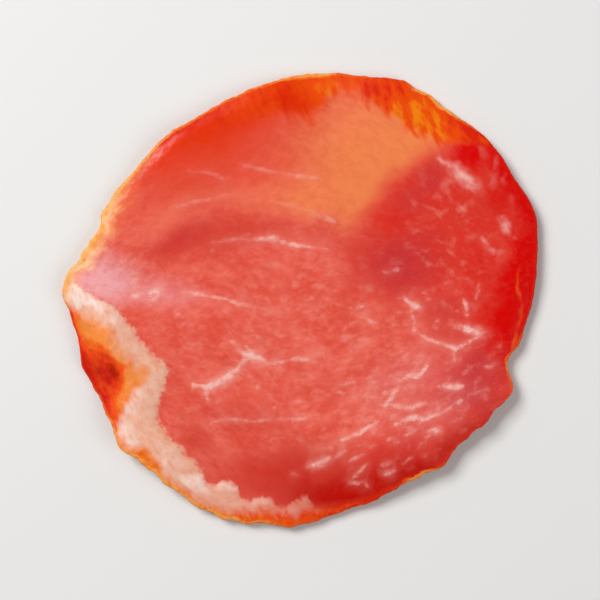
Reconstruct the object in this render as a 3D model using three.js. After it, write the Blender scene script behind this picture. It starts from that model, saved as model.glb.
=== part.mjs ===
// One thin slice of cured pork loin sausage: a wavy disc of lean meat with a thicker fat rim along one side.
// Millimetres, +Z up. The slice lies on Z = 0, its cut face up, with the origin under the middle of its box.
import * as THREE from "three";

// Driving dimensions
const THICKNESS = 1.4;
const MIDDLE_RADIUS = 34.4;
const FLAT_SHARE = 0.42; // the middle of the slice, out to this share of its radius, lies flat
const RINGS = 28;
const RING_SIDES = 6;

// Distance from the middle to the rim, one value every 10 degrees anticlockwise from +X
const RIM_RADII = [
  35.0, 36.2, 37.6, 37.0, 37.1, 36.4, 36.3, 35.4, 34.9, 34.3, 33.3, 32.6,
  32.1, 32.5, 32.3, 33.0, 33.7, 34.9, 36.0, 35.0, 35.4, 34.6, 35.1, 34.8,
  35.4, 35.7, 35.0, 34.5, 33.1, 32.5, 32.1, 32.4, 32.7, 33.7, 34.0, 33.9,
];

// Dents (negative) and bulges (positive) in the rim: middle and spread in degrees, size in mm
const RIM_FEATURES = [
  { at: 203, spread: 3.4, size: -0.3 },
  { at: 219, spread: 4.0, size: 0.7 },
  { at: 336.5, spread: 3.0, size: 1.0 },
  { at: 342.5, spread: 3.0, size: -1.6 },
  { at: 162, spread: 2.4, size: -0.9 },
  { at: 309, spread: 2.4, size: 0.7 },
  { at: 67, spread: 4.0, size: 0.8 },
  { at: 177.5, spread: 2.6, size: 1.1 },
];

// Fine crags of the rim: waves around it, size in mm, phase in radians
const CRAGS = [
  { waves: 19, size: 0.05, phase: 0.4 },
  { waves: 31, size: 0.06, phase: 2.1 },
  { waves: 47, size: 0.06, phase: 4.4 },
  { waves: 62, size: 0.05, phase: 1.3 },
];

// The share of their size that the crags have in the smooth stretches
const SMOOTH_CRAGS = 0.45;

// Stretches where the crags are larger: middle and spread in degrees, and how much larger
const RAGGED = [
  { at: 168, spread: 8, gain: 2.5 },
  { at: 224, spread: 15, gain: 1.2 },
  { at: 262, spread: 10, gain: 1.3 },
  { at: 314, spread: 15, gain: 1.0 },
  { at: 66, spread: 8, gain: 0.8 },
];

// Where the rim stands off the surface: middle and spread in degrees, height in mm
const LIFTS = [
  { at: 212, spread: 25, height: 2.9 },
  { at: 318, spread: 23, height: 2.2 },
  { at: 33, spread: 21, height: 1.4 },
  { at: 126, spread: 17, height: 1.0 },
];
const RIPPLE = { waves: 11, height: 0.16, phase: 1.1 };

// The fat rim: the stretch that it covers in degrees, its depth in from the rim and how far it stands proud
const FAT = { at: 218, spread: 30, depth: 7.5, proud: 0.3 };

// A crease runs in from the fat rim, beside a swollen lobe, and the rim there curls down
const CREASE = { at: 202.5, spread: 4.2, start: 0.76, depth: 1.2 };
const LOBE = { at: 191, spread: 6.5, share: 0.89, width: 0.08, height: 0.6 };
const CURL = { at: 198, spread: 13, start: 0.86, drop: 1.7 };

// The rim is thinner than the middle, and rounded between its two edges
const RIM_THINNING = 0.3;
const RIM_THIN_FROM = 0.92;
const RIM_ROUND = 0.24;
const RIM_STEPS = 3;

// Low waves of the cut face: direction in degrees, wavelength and size in mm
const FACE_WAVES = [
  { toward: 20, length: 17, size: 0.07 },
  { toward: 75, length: 11, size: 0.06 },
  { toward: 130, length: 23, size: 0.08 },
];

const DEGREES = 180 / Math.PI;
const { smoothstep, euclideanModulo } = THREE.MathUtils;

// How near an angle is to the middle of a feature: 1 there, falling to 0 over about twice its spread
function nearness(degrees, feature) {
  const gap = euclideanModulo(degrees - feature.at + 180, 360) - 180;
  return Math.exp(-0.5 * (gap / feature.spread) ** 2);
}

// Catmull-Rom curve through the rim's radii, closed on itself
function plainRadius(degrees) {
  const count = RIM_RADII.length;
  const place = (euclideanModulo(degrees, 360) / 360) * count;
  const first = Math.floor(place);
  const t = place - first;
  const [a, b, c, d] = [-1, 0, 1, 2].map((step) => RIM_RADII[euclideanModulo(first + step, count)]);
  const bend = 2 * a - 5 * b + 4 * c - d;
  const twist = 3 * b - a - 3 * c + d;
  return b + 0.5 * t * (c - a + t * (bend + t * twist));
}

function rimRadius(degrees) {
  const shaped = RIM_FEATURES.reduce(
    (sum, feature) => sum + feature.size * nearness(degrees, feature),
    plainRadius(degrees),
  );
  const raggedness = RAGGED.reduce(
    (sum, stretch) => sum + stretch.gain * nearness(degrees, stretch),
    SMOOTH_CRAGS,
  );
  const crags = CRAGS.reduce(
    (sum, { waves, size, phase }) => sum + size * Math.sin((waves * degrees) / DEGREES + phase),
    0,
  );
  return shaped + raggedness * crags;
}

// How far out a point lies, in mm. Near the middle the slice is round, so a dent in the rim stays in the rim.
function radiusAt(share, degrees) {
  return share * (MIDDLE_RADIUS + (rimRadius(degrees) - MIDDLE_RADIUS) * share ** 3);
}

// Height of the underside over the surface that the slice lies on
function underside(share, degrees) {
  const rise = smoothstep(share, FLAT_SHARE, 1) ** 1.3;
  const lift = LIFTS.reduce((sum, wave) => sum + wave.height * nearness(degrees, wave), 0);
  const ripple = RIPPLE.height * Math.sin((RIPPLE.waves * degrees) / DEGREES + RIPPLE.phase);
  const crease = CREASE.depth * nearness(degrees, CREASE) * smoothstep(share, CREASE.start, 1);
  const lobe = LOBE.height * nearness(degrees, LOBE) * Math.exp(-(((share - LOBE.share) / LOBE.width) ** 2));
  const curl = CURL.drop * nearness(degrees, CURL) * smoothstep(share, CURL.start, 1);
  return Math.max(0, (lift + ripple) * rise + lobe - crease - curl);
}

function thickness(share, degrees) {
  const radius = radiusAt(share, degrees);
  const [x, y] = [radius * Math.cos(degrees / DEGREES), radius * Math.sin(degrees / DEGREES)];
  const fatStart = 1 - FAT.depth / MIDDLE_RADIUS;
  const fat = FAT.proud * nearness(degrees, FAT) * smoothstep(share, fatStart - 0.04, fatStart + 0.06);
  const waves = FACE_WAVES.reduce((sum, { toward, length, size }) => {
    const along = x * Math.cos(toward / DEGREES) + y * Math.sin(toward / DEGREES);
    return sum + size * Math.sin((2 * Math.PI * along) / length);
  }, 0);
  return THICKNESS + fat + waves - RIM_THINNING * smoothstep(share, RIM_THIN_FROM, 1);
}

function point(share, degrees, height, outward = 0) {
  const radius = radiusAt(share, degrees) + outward;
  const angle = degrees / DEGREES;
  return new THREE.Vector3(radius * Math.cos(angle), radius * Math.sin(angle), height);
}

// Number of the first vertex in a ring of a face: ring 0 is the middle point
function ringStart(ring) {
  return ring === 0 ? 0 : 1 + RING_SIDES * ((ring * (ring - 1)) / 2);
}

// Triangles of a face made of rings of 6, 12, 18 and more points, each as [a, b, c]
function faceTriangles() {
  const triangles = [];
  for (let ring = 1; ring <= RINGS; ring++) {
    const [inner, outer] = [ringStart(ring - 1), ringStart(ring)];
    const [innerCount, outerCount] = [Math.max(1, RING_SIDES * (ring - 1)), RING_SIDES * ring];
    for (let side = 0; side < RING_SIDES; side++) {
      for (let step = 0; step < ring; step++) {
        const out = side * ring + step;
        const inward = side * (ring - 1) + step;
        const nextOut = outer + ((out + 1) % outerCount);
        triangles.push([inner + (inward % innerCount), outer + out, nextOut]);
        if (step < ring - 1) {
          triangles.push([inner + (inward % innerCount), nextOut, inner + ((inward + 1) % innerCount)]);
        }
      }
    }
  }
  return triangles;
}

// Shares and angles of a face's points, ring by ring
function facePlaces() {
  const places = [[0, 0]];
  for (let ring = 1; ring <= RINGS; ring++) {
    const count = RING_SIDES * ring;
    for (let step = 0; step < count; step++) {
      places.push([ring / RINGS, (360 * step) / count]);
    }
  }
  return places;
}

function sliceGeometry() {
  const places = facePlaces();
  const triangles = faceTriangles();
  const top = places.map(([share, degrees]) => {
    return point(share, degrees, underside(share, degrees) + thickness(share, degrees));
  });
  const bottom = places.map(([share, degrees]) => point(share, degrees, underside(share, degrees)));
  const rim = places.slice(ringStart(RINGS));
  const steps = [];
  for (let step = 1; step < RIM_STEPS; step++) {
    const up = step / RIM_STEPS;
    steps.push(rim.map(([share, degrees]) => {
      const height = underside(share, degrees) + up * thickness(share, degrees);
      return point(share, degrees, height, RIM_ROUND * Math.sin(Math.PI * up));
    }));
  }

  const index = triangles.flat();
  triangles.forEach(([a, b, c]) => index.push(top.length + a, top.length + c, top.length + b));
  const rows = [top.length + ringStart(RINGS), ...steps.map((_, i) => 2 * top.length + i * rim.length)];
  rows.push(ringStart(RINGS));
  for (let row = 0; row + 1 < rows.length; row++) {
    for (let i = 0; i < rim.length; i++) {
      const next = (i + 1) % rim.length;
      const [low, high] = [rows[row], rows[row + 1]];
      index.push(low + i, low + next, high + next, low + i, high + next, high + i);
    }
  }
  const geometry = new THREE.BufferGeometry().setFromPoints([...top, ...bottom, ...steps.flat()]);
  geometry.setIndex(index);
  geometry.computeVertexNormals();
  return geometry;
}

const curedMeat = new THREE.MeshStandardMaterial({ color: 0xc8392b, roughness: 0.42, metalness: 0 });

const geometry = sliceGeometry();
geometry.computeBoundingBox();
const middle = geometry.boundingBox.getCenter(new THREE.Vector3());
geometry.translate(-middle.x, -middle.y, 0);

const slice = new THREE.Mesh(geometry, curedMeat);
slice.name = "loin_slice";

const part = new THREE.Group();
part.add(slice);

export default part;
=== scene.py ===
"""One thin slice of cured pork loin sausage on a pale floor, seen from straight above.

The slice is one piece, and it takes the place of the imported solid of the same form. Its form is worked out in
millimetres round the slice's own middle, and set in the frame's metres at the end.
"""

import logging
import math
from dataclasses import dataclass
from enum import Enum
from typing import Mapping, Optional, Sequence, Union

import bpy
import numpy as np
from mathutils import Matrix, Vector, noise

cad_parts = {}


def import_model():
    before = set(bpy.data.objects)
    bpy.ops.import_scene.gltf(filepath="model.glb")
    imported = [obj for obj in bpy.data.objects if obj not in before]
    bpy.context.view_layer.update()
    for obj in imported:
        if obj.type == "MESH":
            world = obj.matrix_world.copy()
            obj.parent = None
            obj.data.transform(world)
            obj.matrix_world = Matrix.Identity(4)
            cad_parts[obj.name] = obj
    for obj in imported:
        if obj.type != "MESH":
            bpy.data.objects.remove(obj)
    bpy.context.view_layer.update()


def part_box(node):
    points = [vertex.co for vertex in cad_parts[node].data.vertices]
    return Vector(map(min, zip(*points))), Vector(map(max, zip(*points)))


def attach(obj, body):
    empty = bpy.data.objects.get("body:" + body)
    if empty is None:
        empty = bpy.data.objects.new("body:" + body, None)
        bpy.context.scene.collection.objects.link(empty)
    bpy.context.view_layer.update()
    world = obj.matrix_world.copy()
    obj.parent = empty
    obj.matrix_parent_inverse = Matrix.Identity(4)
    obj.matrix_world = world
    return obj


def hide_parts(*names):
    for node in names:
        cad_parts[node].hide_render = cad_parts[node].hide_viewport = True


log = logging.getLogger("loin_slice")

Array = np.ndarray
Point = tuple[float, float]
Knot = tuple[float, float, float]  # x, y and half the width
Pigment = tuple[float, float, float]

METRES = 0.001  # one millimetre
BODY = "root"
NODE = "loin_slice"
PIECE = "cured_loin_slice"

SHALLOW = 2.0  # mm: an edging less deep than this has a smoother edge
FADE_OUTSIDE = 0.3  # the share of a patch's fade that lies outside its size
NOWHERE = -99.0  # mm: a vein's half width before any part of it is found
FINER, WEAKER = 0.42, 0.5  # size and strength of the finer lumps, beside those of the lumps that they lie on
OTHER_SEED = 5.0  # how far apart the two patterns are seeded
WHITE: Pigment = (1.0, 1.0, 1.0)


def pigment(red: int, green: int, blue: int) -> Pigment:
    """Turns a colour as seen on a screen into the light that it stands for.

    Args:
        red: The red part, 0 to 255.
        green: The green part, 0 to 255.
        blue: The blue part, 0 to 255.

    Returns:
        The three parts in linear light, 0 to 1.
    """
    parts = [part / 255 for part in (red, green, blue)]
    return tuple(p / 12.92 if p <= 0.04045 else ((p + 0.055) / 1.055) ** 2.4 for p in parts)


def ramp(values: Array, low: float, high: float) -> Array:
    """Rises smoothly from 0 at low to 1 at high.

    Args:
        values: Where to read it.
        low: The value where it leaves 0.
        high: The value where it reaches 1.

    Returns:
        A number from 0 to 1 for each value.
    """
    t = np.clip((values - low) / (high - low), 0, 1)
    return t * t * (3 - 2 * t)


def put(name: str, data: bpy.types.ID) -> bpy.types.Object:
    """Puts a new object in the scene.

    Args:
        name: Its name.
        data: Its mesh, light or camera.

    Returns:
        The object.
    """
    thing = bpy.data.objects.new(name, data)
    bpy.context.scene.collection.objects.link(thing)
    return thing


def turned(x: Array, y: Array, degrees: float) -> tuple[Array, Array]:
    """Reads places along and across a direction.

    Args:
        x: Places along X.
        y: Places along Y.
        degrees: The direction, anticlockwise from +X.

    Returns:
        How far each place lies along the direction, and how far to its left.
    """
    c, s = math.cos(math.radians(degrees)), math.sin(math.radians(degrees))
    return x * c + y * s, y * c - x * s


def by_angle(pairs: Sequence[Point], degrees: Array) -> Array:
    """Reads a number that changes round the rim.

    Args:
        pairs: Pairs of an angle in degrees and the number there.
        degrees: The angles to read it at.

    Returns:
        The number at each angle.
    """
    angles, numbers = zip(*pairs)
    return np.interp(degrees % 360, angles, numbers, period=360)


@dataclass(frozen=True)
class Lumps:
    """A pattern of smooth uneven lumps over the plane, the same on every run.

    Attributes:
        size: How far apart the lumps lie, in mm.
        seed: Which pattern it is.
        strength: How far they rise and fall.
        stretch: How much longer than wide they are.
    """

    size: float
    seed: float
    strength: float = 1.0
    stretch: float = 1.0

    def over(self, along: Array, across: Array, level: float = 0.0) -> Array:
        """Reads the pattern.

        Args:
            along: Places in the direction in which the lumps are drawn out.
            across: Places across it.
            level: A number that sets this reading apart from others of the same pattern.

        Returns:
            How far the lumps rise or fall at each place.
        """
        depth = self.seed + level
        places = zip((along / self.stretch / self.size).tolist(), (across / self.size).tolist())
        return self.strength * np.array([noise.noise(Vector((a, b, depth))) for a, b in places])

    def finer(self) -> "Lumps":
        """Returns the finer and weaker lumps that lie on these."""
        return Lumps(FINER * self.size, self.seed + OTHER_SEED, WEAKER * self.strength, self.stretch)


@dataclass(frozen=True)
class Stray:
    """How places stray before something is read at them, which makes its edges uneven.

    Attributes:
        x: How far they stray along X, in mm.
        y: How far they stray along Y, in mm.
    """

    x: tuple[Lumps, ...]
    y: tuple[Lumps, ...]

    def moved(self, x: Array, y: Array) -> tuple[Array, Array]:
        """Moves places.

        Args:
            x: Places along X.
            y: Places along Y.

        Returns:
            Where each place is read, along X and along Y.
        """
        return x + sum(lumps.over(x, y) for lumps in self.x), y + sum(lumps.over(x, y) for lumps in self.y)


@dataclass(frozen=True)
class Stretch:
    """A stretch of the rim where something is strongest at the middle and fades to both sides.

    Attributes:
        at: Its middle, in degrees anticlockwise from +X.
        spread: How far it reaches to each side, in degrees.
        amount: How much there is at its middle.
    """

    at: float
    spread: float
    amount: float

    def over(self, degrees: Array) -> Array:
        """Returns the amount at each angle."""
        gap = (degrees - self.at + 180) % 360 - 180
        return self.amount * np.exp(-0.5 * (gap / self.spread) ** 2)


def total(stretches: Sequence[Stretch], degrees: Array) -> Array:
    """Adds up what several stretches of the rim give at each angle.

    Args:
        stretches: The stretches.
        degrees: The angles.

    Returns:
        One sum for each angle.
    """
    return sum((stretch.over(degrees) for stretch in stretches), np.zeros_like(degrees))


@dataclass(frozen=True)
class Waves:
    """Even waves round the rim.

    Attributes:
        count: How many there are in the whole rim.
        size: Half their height, in mm.
        phase: Where the first begins, in radians.
    """

    count: float
    size: float
    phase: float

    def over(self, degrees: Array) -> Array:
        """Returns the height of the waves at each angle."""
        return self.size * np.sin(np.radians(self.count * degrees) + self.phase)


@dataclass(frozen=True)
class Outline:
    """The slice's outline, as distances from its middle in mm.

    Attributes:
        middle_radius: The radius that the slice keeps to near its middle.
        radii: The distance to the rim at even steps anticlockwise from +X.
        dents: Dents and bulges in the rim.
        crags: The rim's fine unevenness.
        ragged: Where the crags are larger.
        smooth_crags: The share of their size that the crags have elsewhere.
        fringe: The finest crags.
    """

    middle_radius: float = 34.4
    radii: tuple[float, ...] = (
        35.0, 36.2, 37.6, 37.0, 37.1, 36.4, 36.3, 35.4, 34.9, 34.3, 33.3, 32.6,
        32.1, 32.5, 32.3, 33.0, 33.7, 34.9, 36.0, 35.0, 35.4, 34.6, 35.1, 34.8,
        35.4, 35.7, 35.0, 34.5, 33.1, 32.5, 32.1, 32.4, 32.7, 33.7, 34.0, 33.9,
    )
    dents: tuple[Stretch, ...] = (
        Stretch(203, 3.4, -0.3),
        Stretch(219, 4.0, 0.7),
        Stretch(336.5, 3.0, 1.0),
        Stretch(342.5, 3.0, -1.6),
        Stretch(162, 2.4, -0.9),
        Stretch(309, 2.4, 0.7),
        Stretch(67, 4.0, 0.8),
        Stretch(177.5, 2.6, 1.1),
    )
    crags: tuple[Waves, ...] = (
        Waves(19, 0.05, 0.4),
        Waves(31, 0.06, 2.1),
        Waves(47, 0.06, 4.4),
        Waves(62, 0.05, 1.3),
    )
    ragged: tuple[Stretch, ...] = (
        Stretch(168, 8, 2.5),
        Stretch(224, 15, 1.2),
        Stretch(262, 10, 1.3),
        Stretch(314, 15, 1.0),
        Stretch(66, 8, 0.8),
    )
    smooth_crags: float = 0.45
    fringe: Lumps = Lumps(0.9, 3.7, 0.1)

    def plain(self, degrees: Array) -> Array:
        """Draws a closed smooth curve through the radii.

        Args:
            degrees: The angles.

        Returns:
            The distance from the middle at each angle.
        """
        radii = np.array(self.radii)
        place = (degrees % 360) / 360 * len(radii)
        first = np.floor(place).astype(int)
        t = place - first
        a, b, c, d = (radii[(first + step) % len(radii)] for step in (-1, 0, 1, 2))
        bend = 2 * a - 5 * b + 4 * c - d
        twist = 3 * b - a - 3 * c + d
        return b + 0.5 * t * (c - a + t * (bend + t * twist))

    def rim(self, degrees: Array) -> Array:
        """Finds the rim.

        Args:
            degrees: The angles.

        Returns:
            The distance from the middle to the rim at each angle.
        """
        shaped = self.plain(degrees) + total(self.dents, degrees)
        ragged = self.smooth_crags + total(self.ragged, degrees)
        crags = sum(waves.over(degrees) for waves in self.crags)
        x, y = (self.middle_radius * turn(np.radians(degrees)) for turn in (np.cos, np.sin))
        return shaped + ragged * (crags + self.fringe.over(x, y))

    def reach(self, share: Array, degrees: Array) -> Array:
        """Finds how far out a point lies. Near the middle the slice is round, so dents stay at the rim.

        Args:
            share: How far out the point lies, from 0 in the middle to 1 at the rim.
            degrees: Its angle.

        Returns:
            The distance from the middle.
        """
        return share * (self.middle_radius + (self.rim(degrees) - self.middle_radius) * share**3)


@dataclass(frozen=True)
class Crease:
    """A fold that runs in from the rim.

    Attributes:
        across: Where it lies on the rim and how deep it is at the rim, in mm.
        start: The share of the radius where it begins.
    """

    across: Stretch
    start: float

    def over(self, share: Array, degrees: Array) -> Array:
        """Returns how deep the fold is at each point."""
        return self.across.over(degrees) * ramp(share, self.start, 1)


@dataclass(frozen=True)
class Lie:
    """How the slice lies: its middle is flat, and its rim stands off the floor in waves.

    Attributes:
        flat_share: The share of the radius out to which the slice lies flat.
        rise_power: How late past that the rim rises.
        lifts: Where the rim stands off the floor, in mm.
        ripple: Small waves of the rim.
        crease: The fold beside the swollen lobe of fat.
        curl: Where the rim turns down again beside the fold.
        lobe: The swollen lobe.
        lobe_share: How far out the lobe lies.
        lobe_width: How wide it is, as a share of the radius.
    """

    flat_share: float = 0.42
    rise_power: float = 1.3
    lifts: tuple[Stretch, ...] = (
        Stretch(212, 25, 2.9),
        Stretch(318, 23, 2.2),
        Stretch(33, 21, 1.4),
        Stretch(126, 17, 1.0),
    )
    ripple: Waves = Waves(11, 0.16, 1.1)
    crease: Crease = Crease(Stretch(202.5, 4.2, 1.2), 0.76)
    curl: Crease = Crease(Stretch(198, 13, 1.7), 0.86)
    lobe: Stretch = Stretch(191, 6.5, 0.6)
    lobe_share: float = 0.89
    lobe_width: float = 0.08

    def underside(self, share: Array, degrees: Array) -> Array:
        """Finds the underside.

        Args:
            share: How far out each point lies, from 0 to 1.
            degrees: Its angle.

        Returns:
            The height of the underside over the floor.
        """
        rise = ramp(share, self.flat_share, 1) ** self.rise_power
        lift = total(self.lifts, degrees) + self.ripple.over(degrees)
        swell = self.lobe.over(degrees) * np.exp(-(((share - self.lobe_share) / self.lobe_width) ** 2))
        folds = self.crease.over(share, degrees) + self.curl.over(share, degrees)
        return np.maximum(0, lift * rise + swell - folds)


@dataclass(frozen=True)
class FaceWave:
    """A low wave of the cut face.

    Attributes:
        toward: The direction that it runs in, in degrees.
        length: From crest to crest, in mm.
        size: Half its height, in mm.
    """

    toward: float
    length: float
    size: float

    def over(self, x: Array, y: Array) -> Array:
        """Returns the height of the wave at each place."""
        along, _ = turned(x, y, self.toward)
        return self.size * np.sin(2 * math.pi * along / self.length)


@dataclass
class Spots:
    """The spots of a face of the slice, as a disc of rings.

    Attributes:
        share: How far out each lies, from 0 to 1.
        degrees: Its angle.
        x: Its place along X, in mm.
        y: Its place along Y, in mm.
        rim_gap: How far in from the rim it lies, in mm.
    """

    share: Array
    degrees: Array
    x: Array
    y: Array
    rim_gap: Array

    @classmethod
    def of(cls, outline: Outline, share: Array, degrees: Array) -> "Spots":
        """Places spots inside an outline.

        Args:
            outline: The outline.
            share: How far out each spot lies, from 0 to 1.
            degrees: Its angle.

        Returns:
            The spots.
        """
        reach = outline.reach(share, degrees)
        angle = np.radians(degrees)
        return cls(share, degrees, reach * np.cos(angle), reach * np.sin(angle), outline.rim(degrees) - reach)


@dataclass(frozen=True)
class Edging:
    """Something that lies along the rim and reaches in to an uneven edge.

    Attributes:
        depths: Pairs of an angle in degrees and how deep it reaches in from the rim there, in mm.
        rough: How far its edge wanders in and out, in mm.
        toward: The direction in which the edge is drawn out into streaks, in degrees.
    """

    depths: tuple[Point, ...]
    rough: Lumps
    toward: float = 0.0

    def inside(self, spots: Spots) -> Array:
        """Finds how far inside the edging each spot lies.

        Args:
            spots: The spots of the face.

        Returns:
            The distance in from its edge in mm, below 0 outside it.
        """
        depth = by_angle(self.depths, spots.degrees)
        along, across = turned(spots.x, spots.y, self.toward)
        wander = self.rough.over(along, across) + self.rough.finer().over(along, across)
        return depth + wander * ramp(depth, 0, SHALLOW) - spots.rim_gap


@dataclass(frozen=True)
class Vein:
    """A vein of fat in the lean, which thins out toward both ends.

    Attributes:
        path: The points that it runs through and half its width there, as x, y and half width in mm.
        pale: How pale it is, from 0 to 1.
    """

    path: tuple[Knot, ...]
    pale: float

    def measure(self, x: Array, y: Array) -> tuple[Array, Array]:
        """Measures where places lie beside the vein.

        Args:
            x: Places along X.
            y: Places along Y.

        Returns:
            How far each place lies to the left of the vein's middle line, below 0 to its right, and half the
            vein's width there, both in mm. Past its ends the half width falls below 0.
        """
        offset = np.zeros_like(x)
        half = np.full_like(x, NOWHERE)
        last = len(self.path) - 2
        for number, ((ax, ay, a), (bx, by, b)) in enumerate(zip(self.path, self.path[1:])):
            length = math.hypot(bx - ax, by - ay)
            along = ((x - ax) * (bx - ax) + (y - ay) * (by - ay)) / length
            left = ((bx - ax) * (y - ay) - (by - ay) * (x - ax)) / length
            held = np.clip(along, 0, length)
            before = np.maximum(-along, 0)
            after = np.maximum(along - length, 0)
            past = (before if number == 0 else 0) + (after if number == last else 0)
            corner = (0 if number == 0 else before) + (0 if number == last else after)
            here = np.copysign(np.hypot(left, corner), left)
            width = a + (b - a) * held / length - past
            nearer = width - np.abs(here) > half - np.abs(offset)
            offset = np.where(nearer, here, offset)
            half = np.where(nearer, width, half)
        return offset, half


def veins(*rows: tuple[Union[float, Knot], ...]) -> tuple[Vein, ...]:
    """Makes veins from plain rows.

    Args:
        rows: For each vein how pale it is, and then the points of its path.

    Returns:
        The veins.
    """
    return tuple(Vein(tuple(path), pale) for pale, *path in rows)


@dataclass(frozen=True)
class Patch:
    """A soft-edged oval patch of the face.

    Attributes:
        at: Its middle, in mm.
        size: Its half length and half width, in mm.
        toward: The direction of its length, in degrees.
        soft: The share of its size over which it fades.
        amount: How strong it is.
    """

    at: Point
    size: Point
    toward: float
    soft: float
    amount: float = 1.0

    def over(self, x: Array, y: Array) -> Array:
        """Returns how strong the patch is at each place."""
        along, across = turned(x - self.at[0], y - self.at[1], self.toward)
        out = np.hypot(along / self.size[0], across / self.size[1])
        return self.amount * (1 - ramp(out, 1 - self.soft, 1 + self.soft * FADE_OUTSIDE))


def patches(*rows: tuple[float, ...]) -> tuple[Patch, ...]:
    """Makes patches from plain rows.

    Args:
        rows: For each patch its middle's x and y, its half length and half width, its direction, the share of
            its size over which it fades, and how strong it is, or 1 where that is left out.

    Returns:
        The patches.
    """
    return tuple(Patch(row[:2], row[2:4], *row[4:]) for row in rows)


def strongest(spread: Sequence[Patch], x: Array, y: Array) -> Array:
    """Joins patches into one mask.

    Args:
        spread: The patches.
        x: Places along X.
        y: Places along Y.

    Returns:
        At each place, how strong the strongest patch is.
    """
    return np.max([patch.over(x, y) for patch in spread], axis=0)


@dataclass(frozen=True)
class Flecks:
    """A scatter of small flecks and threads of fat that roughly follow the grain.

    Attributes:
        count: How many are tried.
        seed: Which scatter to use.
        where: Where they are thick.
        lengths: The shortest and longest, in mm.
        halves: The smallest and largest half width, in mm.
        pales: The faintest and palest.
        lean: How far they turn off the grain, in degrees.
        bow: How far they bend, as a share of their length.
        ends: The share of their width that they keep at their two ends.
        field: Half the side of the square in which they are tried, in mm.
    """

    count: int = 1100
    seed: int = 7
    where: tuple[Patch, ...] = patches(
        (20, -4, 11, 12, 0, 0.8, 0.3), (15, -17, 18, 10, 24, 0.8), (2, -8, 22, 16, 0, 0.9, 0.4),
        (-12, -16, 16, 10, -30, 0.9, 0.16), (-12, 4, 22, 6, 0, 0.9, 0.2),
    )
    lengths: Point = (0.5, 2.4)
    halves: Point = (0.08, 0.22)
    pales: Point = (0.06, 0.46)
    lean: float = 22.0
    bow: float = 0.25
    ends: Point = (0.3, 0.2)
    field: float = 36.0

    def scatter(self, grain_radius: float) -> list[Vein]:
        """Scatters the flecks.

        Args:
            grain_radius: How tightly the grain bends round the middle, in mm.

        Returns:
            The flecks, as short veins.
        """
        rng = np.random.default_rng(self.seed)
        flecks = []
        for at in rng.uniform(-self.field, self.field, (self.count, 2)):
            chance, size, wide, pale, turn, bow = rng.random(6)
            x, y = float(at[0]), float(at[1])
            if chance > strongest(self.where, np.array([x]), np.array([y]))[0]:
                continue
            grain = -2 * x * y / (grain_radius**2 + x**2)
            angle = math.atan(grain) + math.radians(self.lean) * (2 * turn - 1)
            length = self.lengths[0] + (self.lengths[1] - self.lengths[0]) * size**2
            half = self.halves[0] + (self.halves[1] - self.halves[0]) * wide**2
            dx, dy = 0.5 * length * math.cos(angle), 0.5 * length * math.sin(angle)
            bend = self.bow * (bow - 0.5)
            path = (
                (x - dx, y - dy, self.ends[0] * half),
                (x - bend * dy, y + bend * dx, half),
                (x + dx, y + dy, self.ends[1] * half),
            )
            flecks.append(Vein(path, self.pales[0] + (self.pales[1] - self.pales[0]) * pale))
        return flecks


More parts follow.
